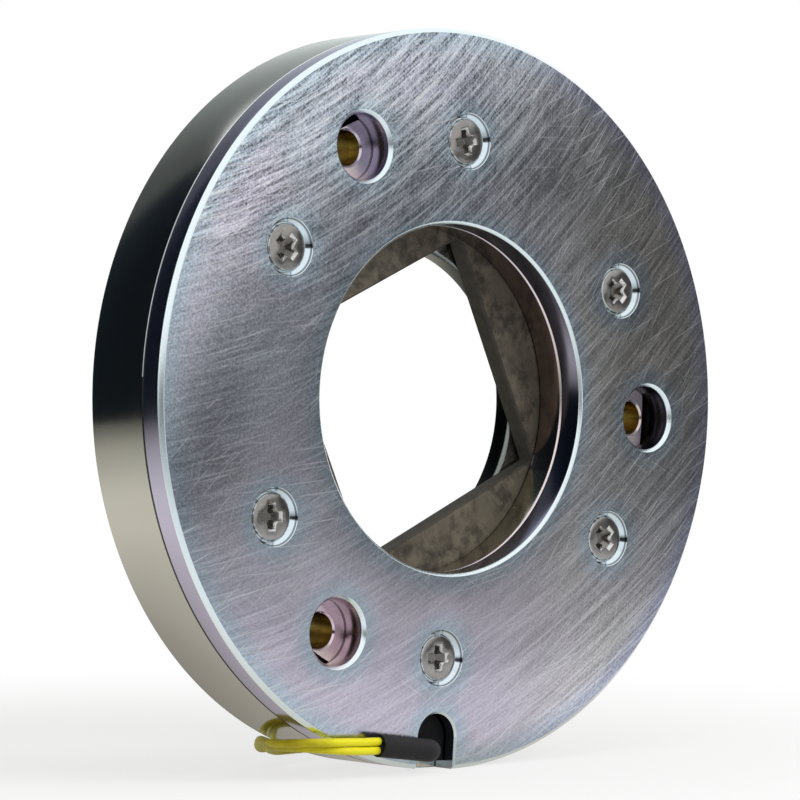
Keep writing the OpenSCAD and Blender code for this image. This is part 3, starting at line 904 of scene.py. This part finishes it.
def makeCore():
    r0, z1, c = brake["boreR"], brake["plateZ"], brake["boreChamfer"]
    profile = [(r0, brake["noseZ"]), (brake["noseR"], brake["noseZ"]), (brake["noseR"], brake["coreZ"]),
               (brake["coreR"], brake["coreZ"]), (brake["coreR"], z1), (r0 + c, z1), (r0, z1 - c)]
    blank = lathe(bmesh.new(), easeCorners(profile, coreSet["ease"]), coreSet["steps"])
    core = meshObject("magnetCore", blank)
    tool = bmesh.new()
    low, high = brake["coreZ"] - coreSet["past"], z1 + coreSet["past"]
    for spot, pocket in zip(screwSpots, springSpots):
        drill(tool, brake["screwHoleR"], low, high, spot)
        drill(tool, brake["pocketR"], low, high, pocket)
    m, mc, over = brake["mountHoleR"], coreSet["mountChamfer"], coreSet["chamferPast"]
    for spot in mountSpots:
        lathe(tool, [(0, low), (m, low), (m, z1 - mc), (m + mc + over, z1 + over), (0, z1 + over)],
              coreSet["mountSteps"], spot)
    cutAway(core, tool)
    holesFrom, holesTo = coreSet["holesR"]

    def zoneOf(x, y, z, n):
        r = math.hypot(x, y)
        if abs(n.z) < steep:
            if r < r0 + nearWall:
                return "lowerBore" if y < coreSet["boreSplitY"] else "upperBore"
            return "holes" if holesFrom < r < holesTo else None
        if abs(n.z) < level and r < r0 + c + nearWall:
            return "boreChamfer"
        return "face" if r > coreSet["faceFrom"] else None
    markZones(core, coreZones, zoneOf)
    return dress(core, coreFinish, "housing", "zinc_plate", "magnet_core")


makeCore()
print("magnet core cut")


# Friction disc: moulded lining material, mottled brown-grey

discSet = {
    "squareHalf": 15.25, "turn": 24, "outerR": 28.7, "liningR": 23.55, "chamfer": 0.25, "ease": 0.06,
    "stepRun": 0.05, "cornerRound": 0.5, "cornerSteps": 5, "blankR": 1.0, "over": 0.5, "steps": 160,
    "dark": (0.040, 0.034, 0.024), "light": (0.155, 0.132, 0.097), "blotch": (0.115, 0.099, 0.072),
    "fibre": (0.19, 0.175, 0.15), "squareWallShade": (0.022, 0.021, 0.018),
}


def discFinish():
    finish, tree, shader = newFinish("frictionLining")
    coords = objectCoords(tree)
    mottle = grain(tree, coords, 1.6, 5.0, 0.65)
    blotch = grain(tree, coords, 5.0, 3.0, at=(4, 9, 2))
    fibre = grain(tree, coords, (1.4, 0.18, 0.18), 2.0, 0.6, turn=(20, 35, 10))
    colour = mixColour(tree, ramp(tree, mottle, 0.35, 0.68), discSet["dark"], discSet["light"])
    colour = mixColour(tree, ramp(tree, blotch, 0.45, 0.7), colour, discSet["blotch"])
    colour = mixColour(tree, times(tree, ramp(tree, fibre, 0.62, 0.74), 0.5), colour, discSet["fibre"])
    # painted shade: the walls of the square hole darkened
    colour = mixColour(tree, times(tree, faceNumber(tree, "zone"), 0.6), colour, discSet["squareWallShade"])
    feed(tree, shader.inputs["Base Color"], colour)
    feed(tree, shader.inputs["Roughness"], ramp(tree, mottle, 0.3, 0.7, 0.62, 0.85))
    bump(tree, shader, plus(tree, mottle, times(tree, fibre, 0.5)), 0.08, 0.6)
    return finish


def squareLayer(half, z):
    corners = boxOutline(half, -half, half, discSet["cornerRound"], discSet["cornerSteps"])
    return [place(x, y, z) for x, y in turned(corners, discSet["turn"])]


def makeDisc():
    low, top = brake["discZ"], brake["discZ"] + brake["discT"]
    step, r0, run = brake["hubStep"], discSet["blankR"], discSet["stepRun"]
    lining, outer = discSet["liningR"], discSet["outerR"]
    profile = [(r0, low + step), (lining, low + step), (lining + run, low), (outer, low), (outer, top),
               (lining + run, top), (lining, top - step), (r0, top - step)]
    blank = lathe(bmesh.new(), easeCorners(profile, discSet["ease"]), discSet["steps"])
    disc = meshObject("frictionDisc", blank)
    h, c, over = discSet["squareHalf"], discSet["chamfer"], discSet["over"]
    tool = loft(bmesh.new(), [squareLayer(h + c + over, low + step - over), squareLayer(h, low + step + c),
                              squareLayer(h, top - step - c), squareLayer(h + c + over, top - step + over)])
    cutAway(disc, tool)

    def zoneOf(x, y, z, n):
        return "square" if abs(n.z) < level and math.hypot(x, y) < lining - nearHole else None
    markZones(disc, ["square"], zoneOf)
    return dress(disc, discFinish(), "rotor", "friction_lining", "friction_disc")


makeDisc()
print("friction disc moulded")


# Geometry Nodes that set pieces on points

def spreadTree(name, **inputs):  # puts a piece on each point and gives the result its finish
    tree = bpy.data.node_groups.new(name, "GeometryNodeTree")
    for socket, kind in {"Points": "Geometry", **inputs, "Finish": "Material"}.items():
        tree.interface.new_socket(socket, in_out="INPUT", socket_type="NodeSocket" + kind)
    tree.interface.new_socket("Result", in_out="OUTPUT", socket_type="NodeSocketGeometry")
    enter, leave = node(tree, "NodeGroupInput"), node(tree, "NodeGroupOutput")
    spread = node(tree, "GeometryNodeInstanceOnPoints")
    real = node(tree, "GeometryNodeRealizeInstances")
    paint = node(tree, "GeometryNodeSetMaterial")
    links = tree.links
    links.new(enter.outputs["Points"], spread.inputs["Points"])
    links.new(spread.outputs["Instances"], real.inputs["Geometry"])
    links.new(real.outputs["Geometry"], paint.inputs["Geometry"])
    links.new(enter.outputs["Finish"], paint.inputs["Material"])
    links.new(paint.outputs["Geometry"], leave.inputs["Result"])
    return tree, enter.outputs, spread.inputs


def useTree(obj, tree, **values):
    step = obj.modifiers.new(tree.name, "NODES")
    step.node_group = tree
    for item in tree.interface.items_tree:
        if item.in_out == "INPUT" and item.name in values:
            step[item.identifier] = values[item.name]
    bpy.context.view_layer.update()
    return evaluated(obj)


def pointObject(name, spots, z):
    points = bpy.data.meshes.new(name)
    points.from_pydata([place(x, y, z) for x, y in spots], [], [])
    return newObject(name, points)


# Plate screws: one countersunk screw with a cross recess, set round the plate

screwSet = {
    "headR": 2.75, "shankR": 1.5, "topZ": 12.99, "edgeZ": 12.78, "tipZ": 0.85, "tipChamfer": 0.4,
    "crown": [(0, -0.16), (-0.05, -0.06), (-0.16, 0)],  # the head's rim, in from headR and down from topZ
    "armLong": 1.62, "armWide": 0.56, "recess": 1.15, "turns": [0, 45, 48, 12, 48, 0],
    "steps": 64, "smooth": 38,
    "dark": (0.30, 0.285, 0.27), "light": (0.46, 0.445, 0.43), "nick": (0.8, 0.79, 0.77),
    # painted shade deep in the recess
    "deepShadeTint": (0.10, 0.085, 0.07), "deep": (0.3, 0.6),
    "glintTint": (0.97, 0.965, 0.95), "glint": (0.03, 0.08, 0.4, 0.52),  # painted glints on the recess walls and the head's rim, by depth
}


def screwFinish():
    finish, tree, shader = newFinish("nickelScrew", Metallic=1.0)
    coords = objectCoords(tree)
    tone = grain(tree, coords, 0.9, 3.0)
    colour = mixColour(tree, tone, screwSet["dark"], screwSet["light"])
    nick = ramp(tree, grain(tree, coords, (1.2, 1.2, 0.07), 1.0, turn=(0, 40, 0)), 0.66, 0.74)
    colour = mixColour(tree, times(tree, nick, 0.5), colour, screwSet["nick"])
    # painted shade deep in the recess, then painted glints higher on its walls and on the head's rim
    depth = plus(tree, splitAxes(tree, coords)["Y"], screwSet["topZ"] * mm)
    colour = mixColour(tree, span(tree, depth, screwSet["deep"], 0.0, 0.4), colour, screwSet["deepShadeTint"])
    d0, d1, d2, d3 = screwSet["glint"]
    glint = times(tree, span(tree, depth, (d0, d1)), span(tree, depth, (d3, d2)))
    glint = times(tree, glint, ramp(tree, grain(tree, coords, 0.7, 1.0), 0.40, 0.50))
    feed(tree, shader.inputs["Base Color"], mixColour(tree, glint, colour, screwSet["glintTint"]))
    rough = ramp(tree, tone, 0.25, 0.75, 0.13, 0.22)
    feed(tree, shader.inputs["Roughness"], plus(tree, rough, times(tree, glint, 0.25)))
    bump(tree, shader, tone, 0.02, 0.4)
    return finish


def crossLayer(longShare, wideShare, z):  # outline of the recess, with rounded inner corners
    arm, half = screwSet["armLong"] * longShare, screwSet["armWide"] * wideShare
    inner = half * 1.25
    quarter = [(arm, -half), (arm, half), (inner * 1.25, half * 1.05), (inner, inner),
               (half * 1.05, inner * 1.25)]
    return [place(x, y, z) for q in range(4) for x, y in turned(quarter, 90 * q)]


def screwMesh():
    top, edge, tip, slope = screwSet["topZ"], screwSet["edgeZ"], screwSet["tipZ"], screwSet["tipChamfer"]
    head, shank, deep = screwSet["headR"], screwSet["shankR"], screwSet["recess"]
    profile = [(0, tip), (shank - slope, tip), (shank, tip + slope), (shank, edge - head + shank),
               (head, edge)]
    profile += [(head + out, top + up) for out, up in screwSet["crown"]] + [(0, top)]
    screw = meshObject("plateScrew", lathe(bmesh.new(), profile, screwSet["steps"]))
    tool = loft(bmesh.new(), [crossLayer(0.45, 0.6, top - deep), crossLayer(0.86, 0.86, top - deep * 0.45),
                              crossLayer(1.0, 1.0, top - 0.1), crossLayer(1.12, 1.25, top + 0.1)])
    return cutAway(screw, tool, screwSet["smooth"])


def screwTree():  # each copy turned about the brake's axis by its point's own value
    tree, given, spread = spreadTree("screwRing", Piece="Object")
    piece = node(tree, "GeometryNodeObjectInfo")
    turn = node(tree, "GeometryNodeInputNamedAttribute", data_type="FLOAT")
    turn.inputs["Name"].default_value = "turn"
    euler = node(tree, "ShaderNodeCombineXYZ")
    links = tree.links
    links.new(given["Piece"], piece.inputs["Object"])
    links.new(piece.outputs["Geometry"], spread["Instance"])
    links.new(turn.outputs["Attribute"], euler.inputs["Y"])
    links.new(euler.outputs["Vector"], spread["Rotation"])
    return tree


def makeScrews():
    screws = pointObject("plateScrews", screwSpots, 0)
    turns = [-math.radians(t) for t in screwSet["turns"]]
    screws.data.attributes.new("turn", "FLOAT", "POINT").data.foreach_set("value", turns)
    single, finish = screwMesh(), screwFinish()
    useTree(screws, screwTree(), Piece=single, Finish=finish)
    bpy.data.objects.remove(single)
    smoothShade(screws, screwSet["smooth"])
    return dress(screws, finish, "housing", "screw_steel", "plate_screws")


makeScrews()
print("plate screws set")


# Springs: six helices at one length; the real ones shorten when the armature is released

springSet = {
    "turns": 4.5, "radius": 1.3, "wire": 0.2, "low": 7.91, "top": 11.07, "travel": 0.24,
    "turnSteps": 28, "sides": 10, "smooth": 50,
}


def springTree():
    floats = dict.fromkeys(("Turns", "Radius", "Wire", "Height"), "Float")
    tree, given, spread = spreadTree("springRing", **floats)
    helix = node(tree, "GeometryNodeCurveSpiral")
    helix.inputs["Resolution"].default_value = springSet["turnSteps"]
    section = node(tree, "GeometryNodeCurvePrimitiveCircle")
    section.inputs["Resolution"].default_value = springSet["sides"]
    wire = node(tree, "GeometryNodeCurveToMesh")
    wire.inputs["Fill Caps"].default_value = True
    lay = node(tree, "GeometryNodeTransform")
    lay.inputs["Rotation"].default_value = (math.radians(90), 0, 0)
    links = tree.links
    links.new(given["Turns"], helix.inputs["Rotations"])
    links.new(given["Radius"], helix.inputs["Start Radius"])
    links.new(given["Radius"], helix.inputs["End Radius"])
    links.new(given["Height"], helix.inputs["Height"])
    links.new(given["Wire"], section.inputs["Radius"])
    links.new(helix.outputs["Curve"], wire.inputs["Curve"])
    links.new(section.outputs["Curve"], wire.inputs["Profile Curve"])
    links.new(wire.outputs["Mesh"], lay.inputs["Geometry"])
    links.new(lay.outputs["Geometry"], spread["Instance"])
    return tree


def makeSprings():
    low, wire = springSet["low"], springSet["wire"]
    springs = pointObject("returnSprings", springSpots, low)
    finish = plainMetal("springWire", (0.36, 0.35, 0.33), (0.55, 0.54, 0.51), (0.25, 0.4), 0.7)
    useTree(springs, springTree(), Turns=springSet["turns"], Radius=springSet["radius"] * mm, Wire=wire * mm,
            Height=(springSet["top"] - low) * mm, Finish=finish)
    smoothShade(springs, springSet["smooth"])
    dress(springs, finish, "housing", "spring_steel", *[f"spring_{i}" for i in range(1, 7)])
    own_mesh(springs)


makeSprings()
print("springs wound")


# Shrink sleeve on the lead, with an open mouth that the wires come out of

sleeveSet = {
    "r": 1.375, "wall": 0.28, "side": 1.275, "out": 42.625, "bend": 2.2, "length": 7.2, "foot": 11.61,
    "mouth": 1.6, "lift": 0.1, "lip": 0.12, "ripple": 0.012, "ripplePace": 0.9,
    "footSteps": 4, "bendSteps": 12, "steps": 18, "sides": 32, "smooth": 50,
    "dark": (0.009, 0.0085, 0.0095), "light": (0.024, 0.0225, 0.025), "scuff": (0.06, 0.058, 0.064),
}


def sleeveFinish():
    finish, tree, shader = newFinish("shrinkSleeve")
    coords = objectCoords(tree)
    tone = grain(tree, coords, 1.2, 3.0)
    fine = grain(tree, coords, 0.18, 2.0)
    colour = mixColour(tree, tone, sleeveSet["dark"], sleeveSet["light"])
    scuff = ramp(tree, grain(tree, coords, (3, 0.12, 0.12), 1.0, turn=(0, 10, 20)), 0.66, 0.76)
    colour = mixColour(tree, times(tree, scuff, 0.4), colour, sleeveSet["scuff"])
    feed(tree, shader.inputs["Base Color"], colour)
    feed(tree, shader.inputs["Roughness"], ramp(tree, tone, 0.3, 0.7, 0.55, 0.72))
    shader.inputs["Specular IOR Level"].default_value = 0.3
    bump(tree, shader, plus(tree, tone, times(tree, fine, 0.25)), 0.06, 0.5)
    return finish


def makeSleeve():
    s = sleeveSet
    x0, y0 = turned([(s["out"], -s["side"])], brake["slotAngle"])[0]
    dx, dy = polar(1, leadSet["sleeveAim"])
    topZ = brake["frontZ"] + s["r"] + s["lift"]
    bendZ = topZ - s["bend"]
    path, radii = [], []

    def add(along, z, r=s["r"]):
        path.append(place(x0 + dx * along, y0 + dy * along, z))
        radii.append(r * mm)
    for k in range(s["footSteps"]):
        add(0, s["foot"] + (bendZ - s["foot"]) * k / s["footSteps"])
    for k in range(s["bendSteps"] + 1):
        w = math.radians(90 * k / s["bendSteps"])
        add(s["bend"] * (1 - math.cos(w)), bendZ + s["bend"] * math.sin(w))
    for k in range(1, s["steps"] + 1):
        ripple = s["ripple"] * math.sin(k * s["ripplePace"]) ** 2
        add(s["bend"] + s["length"] * k / s["steps"], topZ, s["r"] * (1 - ripple))
    end = s["bend"] + s["length"]
    inner, lip = s["r"] - s["wall"], s["lip"]
    for along, r in ((end, inner + lip), (end - lip, inner), (end - s["mouth"], inner)):
        add(along, topZ, r)
    bm = sweep(bmesh.new(), path, radii, s["sides"], Vector((dy, 0, -dx)))
    sleeve = smoothShade(meshObject("leadSleeve", bm), s["smooth"])
    return dress(sleeve, sleeveFinish(), "housing", "shrink_sleeve", "lead_sleeve")


makeSleeve()
print("shrink sleeve made")


# Finishes for the pieces that stay as the frame has them

def windingFinish():
    finish, tree, shader = newFinish("copperWinding", Metallic=1.0, Roughness=0.3)
    coords = objectCoords(tree)
    turns = node(tree, "ShaderNodeTexWave", wave_type="BANDS", bands_direction="Y")
    turns.inputs["Scale"].default_value = 520
    turns.inputs["Distortion"].default_value = 0.4
    feed(tree, turns.inputs["Vector"], coords)
    colour = mixColour(tree, grain(tree, coords, 3.0, 3.0), (0.42, 0.17, 0.08), (0.62, 0.28, 0.14))
    colour = mixColour(tree, turns.outputs["Fac"], (0.16, 0.06, 0.03), colour)
    feed(tree, shader.inputs["Base Color"], colour)
    bump(tree, shader, turns.outputs["Fac"], 0.1, 0.8)
    return finish


def paintNodes(finish, *names):
    for name in names:
        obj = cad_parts[name]
        if obj.material_slots:
            for spot in obj.material_slots:
                spot.material = finish
        else:
            obj.data.materials.append(finish)


paintNodes(plainMetal("armatureSteel", (0.26, 0.27, 0.28), (0.44, 0.45, 0.46), (0.25, 0.4), 5.0), "armature")
paintNodes(mottledPlastic("bobbinNylon", (0.004, 0.004, 0.0045), (0.012, 0.012, 0.013),
                          (0.9, 3.0), (0.03, 0.4), 0.6, 0.12), "coil_bobbin")
paintNodes(windingFinish(), "coil_winding")
paintNodes(mottledPlastic("coilTape", (0.58, 0.44, 0.14), (0.74, 0.6, 0.26), (4.0, 3.0), (0.05, 0.3), 0.4),
           "coil_tape")
paintNodes(plainMetal("spacerSteel", (0.5, 0.5, 0.49), (0.68, 0.68, 0.66), (0.2, 0.35), 2.0),
           *[f"spacer_{i}" for i in range(1, 7)])
paintNodes(plainMetal("oliveSteel", (0.36, 0.28, 0.11), (0.56, 0.45, 0.20), (0.2, 0.35), 2.0),
           *[f"mounting_sleeve_{i}" for i in range(1, 4)])
print("frame pieces painted")


# Stage: pale floor, white surround, soft light and cards that only the metal mirrors, all in metres

stageSet = {
    "surround": 1.0, "fill": 0.35, "aim": (0, -0.005, 0),
    "key": {"at": (0.35, -0.80, 0.55), "size": 0.6, "power": 6.0},
    "top": {"at": (-0.2, -0.25, 0.9), "size": 0.6, "power": 2.0},
    "darkBelow": 0.05, "darkTint": (0.7, 1.0, 1.3),
}
floorSet = {
    "z": -0.045, "size": 1.6, "tone": (0.80, 0.79, 0.77), "middle": (0.0, 0.03, 0),
    "shadeR": (0.03, 0.13), "shade": 0.72,
    "nearTint": (0.96, 0.98, 1.0), "tint": (1.0, 0.955, 0.83), "tintY": (-0.04, 0.0),
    "rings": [  # how bright reflections see it, by the distance from its middle
        (0.0, 0.2), (0.02, 0.28), (0.038, 0.48), (0.046, 0.60), (0.062, 0.75), (0.08, 0.87),
        (0.11, 0.86), (0.17, 0.64), (0.215, 0.56), (0.36, 0.26), (0.7, 0.03),
    ],
}
screenSet = {
    "r": 0.55, "top": 0.6, "steps": 40, "tint": (0.92, 1.0, 0.98),
    "tones": [  # by the angle round the brake
        (-75, 0.009), (-35, 0.012), (-23, 0.024), (-17, 0.11), (-9, 0.12), (0, 0.18), (9, 0.25),
        (17, 0.33), (24, 0.45), (30, 0.57), (35, 0.72), (40, 0.95), (45, 1.0),
    ],
}
boardSet = {
    "y": -0.24, "corners": [(-0.5, -0.3), (0.9, -0.3), (0.9, 0.32), (-0.5, 0.32)],
    "middleX": 0.206, "grow": 1.75,
    "dark": 0.13, "left": 0.32, "leftX": (0.03, -0.02), "edge": 0.3, "edgeX": (-0.026, -0.042),
    "high": 0.80, "highAt": (0.028, 0.050), "highSlope": 0.6, "low": 0.90, "lowAt": (0.003, 0.030),
    "lowSlopes": (0.16, 0.06), "farX": (-0.17, -0.26), "farZ": (0.10, 0.16),
    "eye": 0.03, "eyeZ": (0.055, 0.03), "eyeX": (-0.12, -0.15),
}


def toneRamp(tree, value, stops, tint=(1, 1, 1)):  # grey steps along a value, with one tint
    low, high = stops[0][0], stops[-1][0]
    made = node(tree, "ShaderNodeValToRGB")
    steps = made.color_ramp.elements
    while len(steps) < len(stops):
        steps.new(0.5)
    for step, (at, tone) in zip(steps, stops):
        step.position = (at - low) / (high - low)
    for step, (at, tone) in zip(steps, stops):
        cast = tint if tone > stageSet["darkBelow"] else stageSet["darkTint"]
        step.color = (*[tone * t for t in cast], 1.0)
    feed(tree, made.inputs[0], ramp(tree, value, low, high, smooth=False))
    return made.outputs["Color"]


def makeSurround():
    world = bpy.data.worlds.new("surround")
    scene.world = world
    world.use_nodes = True
    tree = world.node_tree
    back = tree.nodes["Background"]
    back.inputs["Color"].default_value = (1, 1, 1, 1)
    path = node(tree, "ShaderNodeLightPath").outputs
    share = most(tree, path["Is Camera Ray"], path["Is Glossy Ray"])
    share = most(tree, share, path["Is Transmission Ray"])
    strength = ramp(tree, share, 0, 1, stageSet["fill"], stageSet["surround"], False)
    feed(tree, back.inputs["Strength"], strength)


def makeFloor():
    bm = bmesh.new()
    bmesh.ops.create_grid(bm, x_segments=1, y_segments=1, size=floorSet["size"])
    floor = meshObject("floor", bm)
    floor.location = (0, 0, floorSet["z"])
    finish, tree, shader = newFinish("paleFloor", Roughness=0.8)
    feed(tree, shader.inputs["Base Color"], floorSet["tone"])
    shader.inputs["Specular IOR Level"].default_value = 0.0
    coords = objectCoords(tree)
    gap = distanceTo(tree, coords, floorSet["middle"])
    rings = toneRamp(tree, gap, floorSet["rings"])
    warm = ramp(tree, splitAxes(tree, coords)["Y"], *floorSet["tintY"])
    warm = mixColour(tree, warm, floorSet["nearTint"], floorSet["tint"])
    path = node(tree, "ShaderNodeLightPath").outputs
    glow = node(tree, "ShaderNodeEmission")
    mirrored = mixColour(tree, 1.0, rings, warm, "MULTIPLY")
    feed(tree, glow.inputs["Color"], mixColour(tree, path["Is Glossy Ray"], (1, 1, 1), mirrored))
    seen = times(tree, path["Is Camera Ray"], ramp(tree, gap, *floorSet["shadeR"], floorSet["shade"], 1.0))
    mix = node(tree, "ShaderNodeMixShader")
    feed(tree, mix.inputs[0], most(tree, seen, path["Is Glossy Ray"]))
    tree.links.new(shader.outputs[0], mix.inputs[1])
    tree.links.new(glow.outputs[0], mix.inputs[2])
    tree.links.new(mix.outputs[0], tree.nodes["Material Output"].inputs["Surface"])
    floor.data.materials.append(finish)


def mirrorCard(name, bm):  # shows in reflections alone
    card = meshObject(name, bm)
    card.visible_camera = False
    card.visible_diffuse = False
    card.visible_shadow = False
    card.visible_transmission = False
    finish = bpy.data.materials.new(name)
    finish.use_nodes = True
    tree = finish.node_tree
    tree.nodes.remove(tree.nodes["Principled BSDF"])
    glow = node(tree, "ShaderNodeEmission")
    tree.links.new(glow.outputs[0], tree.nodes["Material Output"].inputs["Surface"])
    card.data.materials.append(finish)
    return tree, glow.inputs, splitAxes(tree, objectCoords(tree))


def makeBackScreen():  # a curved screen behind the brake, dark at the left, which the rim mirrors
    stops = [(math.radians(angle), tone) for angle, tone in screenSet["tones"]]
    first, last, count, r = stops[0][0], stops[-1][0], screenSet["steps"], screenSet["r"]
    bm = bmesh.new()
    rows = []
    for z in (floorSet["z"], screenSet["top"]):
        turns = [first + (last - first) * k / count for k in range(count + 1)]
        rows.append([bm.verts.new((r * math.sin(w), r * math.cos(w), z)) for w in turns])
    for k in range(count):
        bm.faces.new([rows[0][k], rows[0][k + 1], rows[1][k + 1], rows[1][k]])
    tree, glow, axes = mirrorCard("backScreen", bm)
    turn = math2(tree, "ARCTAN2", axes["X"], axes["Y"])
    feed(tree, glow["Color"], toneRamp(tree, turn, stops, screenSet["tint"]))


def makeFaceBoard():  # what the flat face mirrors: dark at the right, bright high at the left and low down
    s = boardSet
    bm = bmesh.new()
    bm.faces.new([bm.verts.new((x, s["y"], z)) for x, z in s["corners"]])
    tree, glow, axes = mirrorCard("faceBoard", bm)
    x = math2(tree, "DIVIDE", minus(tree, axes["X"], s["middleX"]), s["grow"])  # where the face shows it
    z = math2(tree, "DIVIDE", axes["Z"], s["grow"])
    high = ramp(tree, minus(tree, z, times(tree, x, s["highSlope"])), *s["highAt"])
    both, one = s["lowSlopes"]
    aside = plus(tree, times(tree, math2(tree, "ABSOLUTE", x), both), times(tree, x, one))
    low = ramp(tree, minus(tree, times(tree, z, -1.0), aside), *s["lowAt"])
    tone = ramp(tree, x, *s["leftX"], s["dark"], s["left"])
    tone = times(tree, tone, ramp(tree, x, *s["edgeX"], 1.0, s["edge"]))
    far = most(tree, ramp(tree, x, *s["farX"]), ramp(tree, z, *s["farZ"]))
    eye = ramp(tree, math2(tree, "ABSOLUTE", axes["Z"]), *s["eyeZ"])
    eye = times(tree, eye, ramp(tree, axes["X"], *s["eyeX"]))
    for share, value in ((high, s["high"]), (low, s["low"]), (far, 1.0), (eye, s["eye"])):
        tone = ramp(tree, share, 0, 1, tone, value, False)
    feed(tree, glow["Strength"], tone)


def softLight(name, at, size, power):
    data = bpy.data.lights.new(name, "AREA")
    data.size = size
    data.energy = power
    lamp = newObject(name, data)
    lamp.location = at
    lamp.rotation_euler = (Vector(stageSet["aim"]) - Vector(at)).to_track_quat("-Z", "Y").to_euler()
    lamp.visible_glossy = False


makeSurround()
makeFloor()
makeBackScreen()
makeFaceBoard()
softLight("keyLight", **stageSet["key"])
softLight("topLight", **stageSet["top"])
print("stage set")
